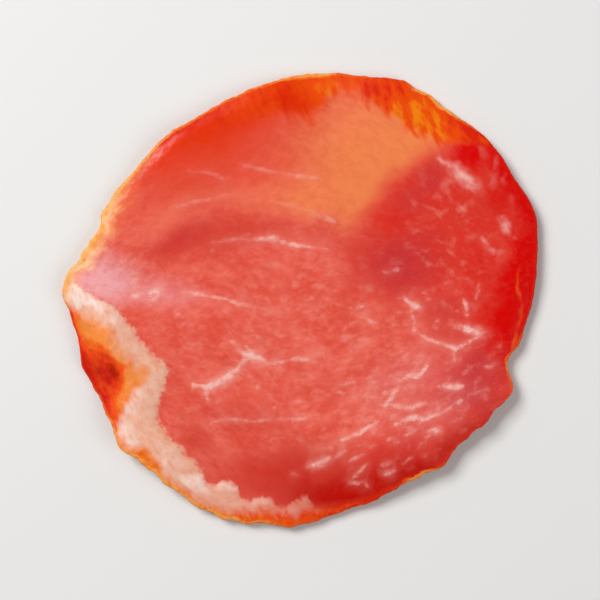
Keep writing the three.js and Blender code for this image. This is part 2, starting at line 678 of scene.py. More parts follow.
@dataclass(frozen=True)
class Marbling:
    """The veins of fat, each drawn where it lies on the cut face, and the scattered flecks between them.

    Attributes:
        veins: The veins.
        flecks: The scatter of small flecks.
        hazes: Soft clouds of fat.
        spotty: Where the lean has faint pale spots.
        grain_radius: How tightly the grain bends round the middle, in mm.
        vein_stray: How unevenly the veins run.
        haze_stray: How unevenly the clouds lie.
        reach: How far from its middle line a vein still counts, in mm.
        narrowing: How fast it narrows past that.
        none: Half the width that a spot far from every vein reads, in mm.
        margin: How far from a vein's path its glow reaches at most, in mm.
        glow_fall: Over what distance from the vein the glow fades, in mm.
        glow_ends: Where the glow leaves 0 and where it is whole, in mm past the vein's edge.
    """

    veins: tuple[Vein, ...] = veins(
        (0.5, (-13.9, 8.6, 0.05), (-10.8, 9.1, 0.14), (-6.3, 9.05, 0.14)),
        (0.95, (-7.4, 9, 0.1), (-6, 9.15, 0.2), (-4.8, 9.4, 0.34), (-3.6, 8.8, 0.25), (-2.4, 8.5, 0.12)),
        (0.85, (-3, 8.6, 0.12), (-0.8, 8.1, 0.3), (0.6, 7.95, 0.2), (1.6, 7.8, 0.1)),
        (0.4, (1.2, 7.9, 0.1), (3, 7.7, 0.1), (4.4, 7.3, 0.04)),
        (0.85, (-18.6, 1, 0.1), (-17.1, 0.9, 0.22), (-16, 0.6, 0.32), (-14.6, 0.4, 0.1)),
        (0.55, (-15, 0.5, 0.1), (-13.3, 0.1, 0.16), (-11, -0.3, 0.07)),
        (0.65, (-11.4, -0.2, 0.05), (-9.9, -0.8, 0.24), (-8, -1.1, 0.18), (-5.4, -1.8, 0.05)),
        (0.9, (-26.2, 0.5, 0.15), (-25.7, 0.5, 0.35), (-25.3, 0.4, 0.1)),
        (0.95, (-23.6, 0.8, 0.1), (-22.6, 1.1, 0.42), (-21.8, 1.1, 0.12)),
        (0.6, (-24, -0.6, 0.1), (-23.2, -0.2, 0.2), (-22.5, 0.4, 0.1)),
        (1, (-17, -13.2, 0.15), (-15, -13.6, 0.5), (-13.2, -13, 0.62), (-11.7, -12, 0.75),
         (-10.4, -11, 0.5), (-9.2, -9.8, 0.42), (-8.6, -8.9, 0.4)),
        (1, (-10.2, -8, 0.06), (-9, -8.5, 0.3), (-7.9, -8.8, 0.62), (-6.9, -9.2, 0.4), (-5.6, -9.9, 0.26),
         (-4.5, -9.9, 0.22), (-3.2, -9.7, 0.05)),
        (0.8, (-7.8, -8.8, 0.2), (-8.3, -7.9, 0.16), (-8.9, -7.3, 0.05)),
        (0.55, (-14.6, -13.7, 0.3), (-14.9, -14.7, 0.3), (-14.6, -15.6, 0.12)),
        (0.6, (-14.2, -19.1, 0.05), (-12.6, -18.6, 0.16), (-10.6, -18.5, 0.18), (-8.6, -18.8, 0.06)),
        (0.4, (-9.4, -18.8, 0.06), (-7.6, -18.9, 0.1), (-5, -18.5, 0.14), (-3.4, -18.5, 0.06)),
        (0.6, (-4.2, -18.6, 0.06), (-2.6, -18.5, 0.16), (-0.6, -18.5, 0.05)),
        (0.3, (20.6, 21.4, 0.05), (22.4, 20.2, 0.16), (24.2, 19, 0.3), (25.8, 17.8, 0.2), (27.2, 15.9, 0.04)),
        (0.85, (15.4, 0.4, 0.05), (16.4, -0.8, 0.22), (17.2, -1.2, 0.48), (17.7, -1.2, 0.2)),
        (0.8, (16.4, -2, 0.16), (17.1, -3.4, 0.12), (16.9, -4.8, 0.2), (18.6, -6, 0.2), (20, -6.6, 0.12)),
        (1, (19.6, -6.5, 0.1), (21.4, -7, 0.24), (23.2, -7.6, 0.42), (24.3, -7.2, 0.24), (25.6, -6.4, 0.16),
         (27.2, -5.3, 0.4)),
        (0.7, (23.2, -7.4, 0.36), (23, -8.4, 0.22), (23.2, -9.4, 0.08)),
        (1, (23, -4.1, 0.1), (24.3, -4.4, 0.3), (25.6, -4.9, 0.52), (26.7, -5.4, 0.5), (27.6, -5.2, 0.12)),
        (0.75, (24.6, -0.2, 0.1), (24.9, -1.2, 0.3), (25, -2.6, 0.1)),
        (0.4, (26.4, 0, 0.05), (26.8, 1.4, 0.24), (26.9, 2.2, 0.06)),
        (0.95, (13.3, -16.3, 0.1), (14.8, -16.6, 0.3), (16.4, -16.8, 0.24), (18, -16.2, 0.1)),
        (0.75, (11.6, -16.2, 0.1), (12.4, -16.3, 0.28), (13.6, -15.2, 0.2), (14.3, -13.9, 0.08)),
        (0.95, (14.5, -12.6, 0.05), (16, -12, 0.2), (17.3, -11.9, 0.42), (18.2, -11.3, 0.28),
         (19, -10.1, 0.1)),
        (0.95, (14.1, -19.3, 0.08), (15.8, -18.4, 0.3), (17.1, -18.2, 0.42), (18.5, -18.4, 0.3),
         (20.2, -17.8, 0.18), (21.8, -17.1, 0.06)),
        (0.8, (5.8, -21.7, 0.06), (7.4, -21.2, 0.2), (9.2, -20.2, 0.3), (10.2, -19.5, 0.32),
         (11.3, -19, 0.08)),
        (0.9, (21.6, -13.6, 0.12), (22.5, -13.4, 0.4), (23.6, -13.5, 0.32), (24.2, -13.4, 0.1)),
        (0.7, (22.8, -16.2, 0.1), (23.6, -15.9, 0.34), (24.2, -15.6, 0.12)),
        (0.65, (21.2, -17.4, 0.1), (21.9, -17, 0.3), (22.4, -16.6, 0.08)),
        (0.9, (19.4, -20.2, 0.12), (20.2, -20.1, 0.45), (20.9, -20.3, 0.14)),
        (0.7, (15.6, -20.9, 0.06), (16.6, -20.3, 0.2), (17.5, -20, 0.06)),
        (0.95, (0.9, -25.7, 0.14), (2.2, -25.3, 0.42), (3.4, -24.8, 0.36), (4.1, -24.4, 0.1)),
        (0.7, (5, -24.3, 0.12), (5.7, -23.7, 0.4), (6.4, -23.2, 0.12)),
        (0.5, (7, -25, 0.08), (8, -24.4, 0.26), (9.2, -23.7, 0.1)),
        (0.6, (9.6, -25.4, 0.06), (8.8, -26.4, 0.16), (7.6, -27.4, 0.2), (7.1, -28.2, 0.14)),
        (0.6, (7.1, -28, 0.14), (8.2, -28.3, 0.18), (9.3, -28.1, 0.14), (9.9, -28.8, 0.05)),
        (0.75, (12.4, -26.9, 0.1), (13.1, -26.7, 0.42), (13.9, -26.3, 0.12)),
        (0.55, (12, -25.6, 0.1), (12.6, -25.3, 0.3), (13.1, -25.2, 0.1)),
        (0.75, (-2, -9.4, 0.06), (-0.8, -9.2, 0.24), (0.4, -9.4, 0.2), (2, -9.7, 0.05)),
        (0.6, (-1.8, -18.8, 0.06), (-0.6, -18.5, 0.18), (0.6, -18.5, 0.06)),
        (0.45, (0.2, -0.2, 0.1), (0.9, -0.1, 0.3), (1.5, 0.1, 0.1)),
        (0.5, (8, -1.6, 0.06), (8.8, -1.2, 0.26), (9.4, -1, 0.08)),
        (0.45, (8.6, -2.8, 0.06), (10.4, -3.5, 0.2), (11.8, -3.9, 0.05)),
        (0.3, (-9.6, 20.6, 0.05), (-6.1, 19.8, 0.18), (-4.4, 19.4, 0.14), (-2.6, 19.2, 0.05)),
        (0.36, (-3, 19, 0.05), (-0.9, 18.9, 0.2), (0.8, 18.6, 0.16), (2.2, 18.6, 0.04)),
        (0.28, (-19.6, 14, 0.05), (-17.4, 14.7, 0.22), (-14.8, 15.3, 0.2), (-12.2, 15.9, 0.05)),
        (0.2, (-4.9, 14.9, 0.05), (-1.4, 14.1, 0.14), (1.8, 13.2, 0.12)),
        (0.4, (1.2, 13.2, 0.05), (2.6, 12.7, 0.2), (3.6, 12.3, 0.3), (4.8, 11.8, 0.08)),
        (0.26, (-17.6, 19.4, 0.04), (-15, 19.4, 0.14), (-13.4, 19, 0.2), (-12.6, 18.4, 0.22),
         (-12.2, 18.2, 0.05)),
        (0.4, (27.2, 9.4, 0.1), (27.8, 8.8, 0.3), (28.2, 8.2, 0.1)),
    )
    flecks: Flecks = Flecks()
    hazes: tuple[Patch, ...] = patches(
        (24.4, 18.7, 3.4, 1.3, -40, 1), (23.2, 19.6, 1.4, 1, 0, 1, 0.6),
        (21.6, 20.9, 1.6, 0.6, -42, 1, 0.55), (22, 17.6, 1.6, 1, 50, 1, 0.34),
        (20.6, 15.6, 1, 0.5, 20, 1, 0.3), (26, 16.9, 1.2, 0.6, -60, 1, 0.4),
        (28.9, 17.9, 1.3, 0.7, 80, 1, 0.34), (27.3, 22.6, 1.6, 0.5, -70, 1, 0.2),
        (29.4, 20.6, 1.6, 0.45, 84, 1, 0.22), (30.6, 18.2, 1.2, 0.45, -84, 1, 0.2),
        (31.8, 15, 1.1, 0.4, -76, 1, 0.16), (31, 11.1, 1.6, 0.8, 105, 1, 0.8),
        (30.3, 12.3, 0.8, 0.5, 20, 1, 0.45), (32.4, 9.3, 0.6, 0.4, 100, 1, 0.2),
        (24.5, 13.8, 0.9, 0.7, 50, 1, 0.45), (25.6, 14.7, 0.6, 0.5, 60, 1, 0.22),
        (25.9, 9.5, 1.1, 0.7, 35, 1, 0.22), (28.8, 7.5, 0.9, 0.6, 0, 1, 0.5),
        (30.1, 7.2, 0.7, 0.5, -10, 1, 0.3), (16.5, 8, 1.4, 0.4, -5, 1, 0.25),
        (-24.6, 19.6, 1.8, 0.5, 50, 1, 0.36), (-22.3, 22, 2, 0.5, 46, 1, 0.28),
        (-19.6, 24.5, 2.2, 0.5, 38, 1, 0.36), (-16, 27.2, 1.8, 0.4, 32, 1, 0.26),
        (17.3, -1.2, 1.1, 0.7, -15, 1, 0.8), (26, -4.9, 2, 1, -22, 1, 0.6),
        (-25.4, 0.5, 0.9, 0.7, 0, 1, 0.6), (-22.6, 1.1, 1.3, 0.8, 10, 1, 0.8),
        (-12.4, -12.5, 3.6, 1.3, 30, 1, 0.6), (-7.6, -9, 2, 1.2, -20, 1, 0.6),
        (-4.9, 9.2, 1.6, 0.7, -10, 1, 0.5), (-4.4, 5.1, 1.4, 0.7, -16, 1, 0.4),
        (6.6, -6.2, 0.8, 0.6, 0, 1, 0.4), (8, -7.4, 1.7, 1, -20, 1, 0.22),
        (12.4, -26.4, 1.5, 0.7, 24, 1, 0.25), (2.6, -25.2, 2.2, 0.9, 22, 1, 0.6),
        (20.2, -20.1, 1.3, 0.6, 14, 1, 0.32), (22.8, -13.5, 1.8, 0.8, 0, 1, 0.6),
    )
    spotty: tuple[Patch, ...] = patches(
        (21, 6, 10, 17, 0, 0.9, 0.6), (16, -16, 19, 10, 24, 0.9), (0, -6, 24, 18, 0, 0.9, 0.5),
        (-29, 4, 8, 5, 20, 0.9, 0.9),
    )
    grain_radius: float = 38.0
    vein_stray: Stray = Stray((Lumps(0.9, 21, 0.16),), (Lumps(0.9, 27, 0.16),))
    haze_stray: Stray = Stray((Lumps(1.1, 81, 0.6),), (Lumps(1.1, 83, 0.6),))
    reach: float = 0.4
    narrowing: float = 3.0
    none: float = -2.0
    margin: float = 2.5
    glow_fall: float = 0.6
    glow_ends: Point = (-2.2, -0.8)

    def measure(self, x: Array, y: Array) -> tuple[Array, Array, Array, Array]:
        """Measures where places lie beside the nearest vein.

        Args:
            x: Places along X.
            y: Places along Y.

        Returns:
            The offset from its middle line in mm, half its width in mm, how pale it is, and the glow of all
            the fat round the place.
        """
        wx, wy = self.vein_stray.moved(x, y)
        offset, pale, glow = np.zeros_like(x), np.zeros_like(x), np.zeros_like(x)
        half = np.full_like(x, self.none)
        for vein in (*self.flecks.scatter(self.grain_radius), *self.veins):
            px, py, _ = np.array(vein.path).T
            beside = (wx > px.min() - self.margin) & (wx < px.max() + self.margin)
            level = (wy > py.min() - self.margin) & (wy < py.max() + self.margin)
            near = np.flatnonzero(beside & level)
            here, width = vein.measure(wx[near], wy[near])
            gap = width - np.abs(here)
            shine = vein.pale * np.exp(np.minimum(0, gap) / self.glow_fall) * ramp(gap, *self.glow_ends)
            glow[near] = np.maximum(glow[near], shine)
            width = width - self.narrowing * np.maximum(0, np.abs(here) - self.reach)
            nearer = width - np.abs(here) > half[near] - np.abs(offset[near])
            chosen = near[nearer]
            offset[chosen], half[chosen], pale[chosen] = here[nearer], width[nearer], vein.pale
        return offset, np.maximum(half, self.none), pale, glow

    def haze(self, x: Array, y: Array) -> Array:
        """Returns how strong the clouds of fat are at each place."""
        return strongest(self.hazes, *self.haze_stray.moved(x, y))


@dataclass(frozen=True)
class UnderEdge:
    """The round edge of another slice that lay under this one, where the painted shade of that slice begins.

    Attributes:
        at: The middle of its circle, in mm.
        radius: Its radius, in mm.
        soft: Half the width over which it blends, in mm.
    """

    at: Point
    radius: float
    soft: float

    def inside(self, x: Array, y: Array) -> Array:
        """Returns how much of each place lies inside the seam's circle, from 0 to 1."""
        return ramp(self.radius - np.hypot(x - self.at[0], y - self.at[1]), -self.soft, self.soft)


class StackPart(Enum):
    """The parts of the face that the round edges of the two slices underneath part. The tones that keep to the
    middle and right parts are painted shade of those slices; the peach part lies over neither.
    """

    ANY = "any"
    PEACH = "peach"
    MIDDLE = "middle"
    RIGHT = "right"


@dataclass(frozen=True)
class UnderEdges:
    """The round edges of the two slices that lay under this one, which part the face.

    Attributes:
        diagonal: The edge of the slice under the right part, between the peach part and the right one.
        arc: The edge of the slice under the middle part, between the peach part and the middle.
        join: The heights between which the right part parts from the middle, in mm.
    """

    diagonal: UnderEdge = UnderEdge((37.2, -6.7), 33.8, 2.6)
    arc: UnderEdge = UnderEdge((-7.1, -19.8), 33.1, 2.0)
    join: Point = (2.0, 9.0)

    def within(self, stack_part: StackPart, x: Array, y: Array) -> Array:
        """Finds a part of the face.

        Args:
            stack_part: The part.
            x: Places along X.
            y: Places along Y.

        Returns:
            How much of each place belongs to it, from 0 to 1.
        """
        right, low = self.diagonal.inside(x, y), self.arc.inside(x, y)
        shares = {
            StackPart.ANY: np.ones_like(x),
            StackPart.PEACH: (1 - right) * (1 - low),
            StackPart.MIDDLE: low * (1 - right * ramp(y, *self.join)),
            StackPart.RIGHT: right,
        }
        return shares[stack_part]


@dataclass(frozen=True)
class Tone:
    """A part of the lean with a tone of its own, or painted shade, sheen or highlight.

    Attributes:
        name: Its name.
        colour: Its colour.
        patches: Where it lies.
        stack_part: The part of the face that it keeps to.
        rim: Where it lies along the rim, if it does.
        soft: Half the width over which the part along the rim fades, in mm.
        strength: How strong the part along the rim is.
        mottled: How uneven it is.
    """

    name: str
    colour: Pigment
    patches: tuple[Patch, ...] = ()
    stack_part: StackPart = StackPart.ANY
    rim: Optional[Edging] = None
    soft: float = 1.5
    strength: float = 1.0
    mottled: float = 0.3

    def over(self, spots: Spots, x: Array, y: Array, under_edges: UnderEdges) -> Array:
        """Finds how strong the tone is.

        Args:
            spots: The face's spots.
            x: Where each spot reads the patches along X, in mm.
            y: Where it reads them along Y.
            under_edges: The round edges of the slices that lay under this one.

        Returns:
            A number from 0 to 1 for each spot.
        """
        shares = [np.zeros_like(x)]
        if self.patches:
            shares.append(strongest(self.patches, x, y))
        if self.rim:
            shares.append(self.strength * ramp(self.rim.inside(spots), -self.soft, self.soft))
        return np.max(shares, axis=0) * under_edges.within(self.stack_part, x, y)


LEAN_TONES: tuple[Tone, ...] = (
    Tone("warm", pigment(231, 76, 52), patches(
        (-14, 21.2, 17, 8, 34, 0.9), (-7, 20.5, 10, 8.5, 15, 0.9, 0.7),
    ), StackPart.PEACH),
    Tone("peach", pigment(240, 132, 78), patches(
        (14, 20, 19, 17, 30, 0.75), (3, 15.8, 13, 5.5, 8, 0.9, 0.8),
    ), StackPart.PEACH),
    # Painted shade: a darker band just inside the round edge of the slice that lay under the middle part.
    Tone("arc", pigment(212, 62, 48), patches(
        (-12, 10, 14, 4.2, 8, 1, 0.82), (-19.4, 8.8, 7, 3, 30, 1, 0.86), (3, 10, 11, 4, -10, 1, 0.3),
    ), StackPart.MIDDLE),
    # Painted shade: the deeper red where another slice lay under the right part.
    Tone("red", pigment(221, 56, 42), patches(
        (21, 13, 18, 17, 35, 0.6), (27.4, -1, 11, 15, 0, 0.9, 0.95), (27, -13, 9, 9, 50, 0.9, 0.95),
        (14, -24, 12, 6, 25, 0.9, 0.85),
    ), StackPart.RIGHT, mottled=0.9),
    # Darker purplish patches. The two on the round edge of the slice under the middle part, at (14.8, 5.2) and
    # (-18.4, 9.2), are painted shade along that edge.
    Tone("smudge", pigment(202, 52, 54), patches(
        (14.8, 5.2, 8, 6, 0, 0.95, 0.85), (17, 15.5, 4.5, 3, 40, 0.9, 0.45),
        (19.5, 18.6, 3.4, 2.5, 40, 0.9, 0.6), (19, 9, 4, 3, 0, 1, 0.4),
        (25.8, -12.6, 5.6, 8.5, -35, 0.9, 0.95), (21, -2, 5, 3.4, 0, 1, 0.5),
        (22.6, -5.2, 4, 2.4, 0, 1, 0.35), (20.5, -14.5, 8.5, 7, 30, 1, 0.28),
        (-18.4, 9.2, 5.4, 2.4, 26, 1, 0.42),
    ), mottled=0.7),
    # Painted shade: the deepest red of the right part and of its rim, where another slice lay under this one.
    Tone(
        "crimson",
        pigment(216, 2, 0),
        patches(
            (25.6, 22.6, 4.6, 4.2, -45, 0.8), (30, 15.4, 4.2, 3, -30, 0.9, 0.7),
            (27.6, 4, 4, 10, 0, 1, 0.42), (15, 12.6, 3.4, 2.2, 35, 1, 0.34),
            (21.8, 15.2, 3, 1.8, 0, 1, 0.34),
        ),
        StackPart.RIGHT,
        Edging((
            (0, 6), (8, 5.8), (14, 4.6), (22, 3), (30, 2.2), (36, 2.8), (44, 1), (50, -2), (338, -2),
            (342, 1.4), (346, 4), (352, 5.8),
        ), Lumps(3.6, 71.0, 1.6)),
        soft=2.6,
        mottled=0.35,
    ),
    # Painted highlight: thin orange lines where a fold in the right rim catches the light.
    Tone("fold", pigment(236, 92, 34), patches(
        (33, 1.6, 2.8, 0.34, -86, 1, 0.75), (33.1, -3, 2.2, 0.28, -94, 1, 0.5),
        (32.3, -7.2, 2.6, 0.45, -108, 1, 0.75),
    ), mottled=1.1),
    # Painted sheen: a paler, warmer patch where the moist face catches the light.
    Tone("bloom", pigment(239, 118, 92), patches(
        (-20, 13, 8, 3, 32, 1, 0.6), (-10, 15.8, 9, 2.4, 8, 1, 0.55),
    ), StackPart.PEACH),
    Tone("low", pigment(202, 46, 33), patches(
        (0, -27.5, 17, 6.5, 0, 0.9, 0.9), (15, -25.5, 11, 5, 30, 0.9, 0.85),
        (-16, -22, 5, 3, -45, 0.9, 0.35), (-8.5, -18.6, 8.5, 3.4, -8, 1, 0.4),
    )),
    Tone(
        "blood",
        pigment(190, 14, 0),
        patches((-12, 28.6, 5, 2.6, 22, 0.9, 0.25), (6.5, -29.4, 12, 3.8, 12, 0.8)),
        rim=Edging((
            (270, -2), (276, 2), (284, 5), (292, 4.6), (300, 3.4), (310, 2.2), (322, 1.6), (332, 0),
            (336, -2),
        ), Lumps(3.0, 73.0, 0.6)),
        soft=2.4,
        strength=0.9,
    ),
    Tone(
        "ember",
        pigment(230, 54, 12),
        rim=Edging((
            (82, -2), (88, 1.5), (94, 3.6), (104, 5.6), (118, 6), (128, 5), (138, 3), (146, 0.5), (152, -2),
        ), Lumps(3.0, 75.0, 0.7)),
        soft=3.0,
        strength=0.95,
    ),
    Tone(
        "glow",
        pigment(240, 118, 62),
        rim=Edging((
            (138, -2), (145, 0.8), (151, 2.6), (160, 2.6), (166, 1), (171, -2),
        ), Lumps(2.0, 77.0, 0.6)),
        soft=1.8,
        strength=0.7,
    ),
    # Painted sheen: the pinkish haze where the moist face reflects the lamps, at the left and at the lower
    # right.
    Tone("rosy", pigment(240, 166, 168), patches(
        (-30.5, 2.6, 6.4, 4.6, 10, 0.85, 0.97), (-24.6, 1.2, 10, 3.2, -6, 0.9, 0.5),
        (15.5, -12.5, 11, 5.5, 22, 0.95, 0.16), (20, -17, 10, 5, 30, 0.95, 0.12),
    ), mottled=0.35),
)


class Course(Enum):
    """The courses that fine patterns follow over the slice, by the names of the mesh's lists of places."""

    GRAIN = "grain"
    BAND = "band"
    STREAKS = "streaks"


@dataclass(frozen=True)
class Colouring:
    """Everything that varies over a face, one list of numbers for each thing, in the order of the spots.

    Attributes:
        numbers: Named lists of one number for each spot.
        places: For each course, a list of three numbers for each spot, in mm.
    """

    numbers: Mapping[str, Array]
    places: Mapping[Course, Array]


@dataclass(frozen=True)
class Meat:
    """How fat, spice, veins and tones lie in the slice.

    Attributes:
        fat: The band of fat.
        fat_strength: How dense the fat is, by angle.
        crust: The thin golden crust of the left rim.
        crust_soft: Where the crust leaves 0 and reaches full strength, in mm in from its edge.
        white: Where the fat is whitest, partly its own colour and partly painted highlight.
        spice: The spice stain.
        stain_soft: How softly the stain ends, by angle.
        stain_tones: How much redder the stain is than its usual orange, by angle.
        combed: How strongly the stain is combed into streaks, by angle.
        scarlet: Where the stain is reddest.
        golden: Where it is golden.
        burnt: Where it is dark brown, partly stain gathered in the crease beside the lobe and partly painted
            shade of that crease.
        gold: How golden the rim's line is, by angle; on the upper left it also stands for painted highlight
            where the rim catches the light.
        line_width: How wide that line is beside its usual width, by angle.
        marbling: The veins.
        tones: The lean's tones.
        under_edges: The round edges of the slices that lay under this one.
        stray: How unevenly patches and tones lie.
        grain_wander: How far the grain wanders, in mm.
        rim_radius: The radius at which patterns along the rim are measured, in mm.
        streaks_toward: The direction in which the stain runs, in degrees.
        streak_stretch: How strongly it is drawn out in that direction at the top, from 0 to 1.
        streak_heights: The heights between which that sets in, in mm.
    """

    fat: Edging = Edging((
        (0, -3), (170, -3), (174, 0.2), (177, 2.6), (179.5, 4.6), (182, 6.8), (187, 7.8), (191.6, 8.7),
        (196.7, 10), (202, 10.7), (205, 11), (206.8, 11.3), (208.5, 11.2), (210.2, 10.4), (213, 9.2),
        (217.5, 7.7), (222, 6.1), (226, 5.5), (232, 5.3), (237, 5.1), (240.5, 4.3), (242.2, 3.3),
        (244, 4.2), (247, 5.2), (250.5, 5.6), (252, 3.8), (254, 3.4), (257, 4), (260, 3.9), (262.5, 2.8),
        (265, 2.8), (268, 3.8), (271, 4.2), (273, 2), (276, 0.8), (285, 0.3), (290, -3),
    ), Lumps(1.3, 11.0, 0.45))
    fat_strength: tuple[Point, ...] = (
        (140, 1), (226, 1), (242, 0.92), (252, 0.76), (259, 0.56), (266, 0.5), (272, 0.36), (276, 0.12),
        (290, 0.1),
    )
    crust: Edging = Edging((
        (0, -3), (128, -3), (134, 0.1), (146, 0.2), (151, 0.9), (156, 1.8), (162, 1.5), (166, 2.1),
        (172, 2.3), (176, 1.3), (180, 0.6), (183, -0.6), (186, -3),
    ), Lumps(1.1, 19.0, 0.9))
    crust_soft: Point = (-1.3, 1.7)
    # Partly the fat's own whiter parts and partly painted highlight where the swollen fat catches the light;
    # the two patches at the lobe by the fold are mostly that painted highlight.
    white: tuple[Patch, ...] = patches(
        (-33.4, 0.2, 4.6, 2.2, -36, 0.7), (-35.4, 0.2, 2.8, 2, -38, 0.8),
        (-29.4, -2.4, 4, 1.3, -48, 0.9, 0.6), (-27.8, -20.4, 4.2, 2.4, -48, 0.8),
        (-25.6, -14.5, 2, 4, -12, 0.9, 0.5), (-21.4, -25, 3.4, 1.6, -42, 0.9, 0.5),
        (-16.2, -28, 2.8, 1.5, -38, 0.9), (-11.8, -28.4, 3.2, 1.4, -10, 0.9, 0.9),
        (-6, -30.9, 2.6, 0.9, 0, 0.9, 0.7), (0.6, -31, 2.2, 0.8, 20, 0.9, 0.6),
        (-21.6, -10.4, 1.2, 1, 0, 0.9, 0.6),
    )
    spice: Edging = Edging((
        (0, -0.6), (38, -0.4), (44, 2.6), (50, 5.2), (58, 6.2), (66, 5.5), (74, 3.4), (80, 2.8), (84, 4.4),
        (86, 6.6), (90, 7.2), (94, 6.4), (99, 5.2), (106, 4.2), (114, 2.8), (124, 1.2), (135, 0.4),
        (150, 0.2), (179, 0), (182, 0.4), (183, 0.9), (184.4, 2.1), (187, 4.4), (190.2, 5.4), (194.7, 6.3),
        (198.2, 7), (201.2, 7.4), (203.5, 8.2), (205, 8.5), (207.3, 7.2), (209.3, 5.3), (211.3, 3.2),
        (213, 1.5), (216, 1), (221, 0.9), (223.5, 2.4), (228, 1.9), (231, 1), (240, 0.9), (250, 1.1),
        (258, 1.9), (268, 1.7), (276, 1.4), (284, 0.6), (300, 0.2), (330, 0),
    ), Lumps(1.2, 16.0, 1.0, 3.0), -70)
    stain_soft: tuple[Point, ...] = (
        (0, 0.6), (40, 0.7), (46, 0.9), (68, 0.9), (76, 1.4), (84, 1.7), (100, 1.9), (112, 2.4), (150, 1),
        (182, 1.4), (187, 2), (200, 1.6), (212, 1.1), (280, 0.9), (300, 0.6),
    )
    stain_tones: tuple[Point, ...] = (
        (0, 0.3), (40, 0.2), (50, 0.05), (67, 0.05), (82, 0.05), (104, 0.05), (114, 0.2), (126, 0.4),
        (140, 0.4), (184, -0.1), (198, -0.35), (214, -0.4), (246, -0.35), (262, -0.15), (284, 0.2),
    )
    combed: tuple[Point, ...] = (
        (0, 0.7), (40, 1), (76, 1), (82, 0.7), (88, 0.45), (130, 0.4), (160, 0.6), (186, 1), (300, 1),
    )
    scarlet: tuple[Patch, ...] = patches(
        (-2.8, 30.6, 5.4, 3, -26, 1, 0.17), (11.5, 32, 4.6, 2.4, -15, 0.9, 0.25),
        (24.8, 27, 3.4, 3, 0, 0.9, 0.4), (-34, -10.8, 8, 2.2, -68, 0.9, 1.15),
        (-29.8, -11.5, 5.2, 3.2, -44, 0.8, 0.66), (-30.2, -15.6, 4.6, 1.8, -66, 0.9, 0.75),
        (-31, -7.7, 3.6, 1.2, -50, 1, 0.4), (-27.5, -10.9, 1.9, 1.4, -60, 1, 0.45),
        (-31, -15.2, 3.6, 1.3, -66, 0.9, 0.9),
    )
    golden: tuple[Patch, ...] = patches(
        (18.6, 27.4, 5.5, 3.6, -55, 0.9, 0.42), (22, 24.2, 2.8, 2.2, 0, 0.9, 0.4),
        (4.6, 32, 5, 2.6, 0, 1, 0.36), (-31.8, -4.8, 6.2, 3, -50, 1, 0.6),
        (-28.4, -7.6, 3.2, 1.8, -50, 1, 0.4), (-26, -13, 4.6, 2, 62, 1, 0.4),
        (14.4, 28.6, 4.2, 3, -50, 0.9, 0.36),
    )
    # Where the stain is darkest: partly stain gathered in the crease beside the lobe, partly painted shade of
    # that crease.
    burnt: tuple[Patch, ...] = patches(
        (-28.5, -10.9, 2.2, 1.4, -24, 1), (-29.6, -12.4, 2.6, 1.1, -60, 1, 0.6),
        (-31, -11.2, 5.4, 2.9, -48, 0.9, 0.4), (-34, -10.8, 8, 1.6, -69, 1, 0.72),
        (-31.1, -15.2, 4.4, 1.2, -66, 1, 0.8), (-33.2, -6.8, 3.4, 0.6, -58, 1, 0.5),
        (-29, -14.6, 1.8, 1, -60, 1, 0.34), (-30.3, -9, 2.4, 0.6, -32, 1, 0.6),
        (-32.6, -3.7, 1.6, 0.4, -12, 1, 0.34), (-31, -7.4, 1.8, 0.4, -50, 1, 0.3),
        (-31.4, -10.9, 1.6, 0.5, -20, 1, 0.6), (-30.6, -13.6, 2, 0.5, -50, 1, 0.6),
    )
    # The skin's golden colour, and on the upper left, from about 90 to 150 degrees, painted highlight where the
    # rim catches the light.
    gold: tuple[Point, ...] = (
        (0, -0.2), (28, -0.2), (42, -0.1), (46, 0.4), (52, 1), (61, 0.9), (67, 0.1), (80, 0.5), (86, 1),
        (98, 0.7), (112, 0.6), (126, 0.7), (140, 0.85), (152, 1), (178, 1), (184, 0.2), (200, 0),
        (212, 0.7), (222, 0.9), (255, 0.9), (272, 0.4), (284, 0.1), (297, 0.2), (301, 0.85), (307, 0.75),
        (311, 0.15), (331, 0.1), (336, 0.5), (341, 0.75), (349, 0.4), (354, -0.1),
    )
    line_width: tuple[Point, ...] = (
        (0, 0.6), (46, 0.7), (51, 1), (55, 1.5), (62, 1.4), (68, 0.7), (84, 1.1), (90, 1.3), (100, 1),
        (112, 0.95), (140, 1.1), (150, 1.5), (178, 1.8), (184, 0.6), (212, 1), (220, 1.7), (255, 1.6),
        (272, 0.9), (284, 0.6), (297, 0.7), (301, 1.3), (307, 1.2), (312, 0.6), (330, 0.6), (335, 0.8),
        (340, 1.1), (348, 1), (354, 0.6),
    )
    marbling: Marbling = Marbling()
    tones: tuple[Tone, ...] = LEAN_TONES
    under_edges: UnderEdges = UnderEdges()
    stray: Stray = Stray(
        (Lumps(5.0, 41, 1.1), Lumps(1.6, 43, 0.44)),
        (Lumps(5.0, 47, 1.1), Lumps(1.6, 49, 0.44)),
    )
    grain_wander: Lumps = Lumps(9.0, 31, 1.2)
    rim_radius: float = 34.4
    streaks_toward: float = -70.0
    streak_stretch: float = 0.6
    streak_heights: Point = (5.0, 20.0)

    def grain(self, x: Array, y: Array) -> tuple[Array, Array]:
        """Finds places along and across the meat's grain, which is domed in the upper half and bowed below.

        Args:
            x: Places along X.
            y: Places along Y.

        Returns:
            The places along and across the grain, in mm.
        """
        bow = (x / self.marbling.grain_radius) ** 2
        return x * (1 + bow / 3), y * (1 + bow) + self.grain_wander.over(x, y)

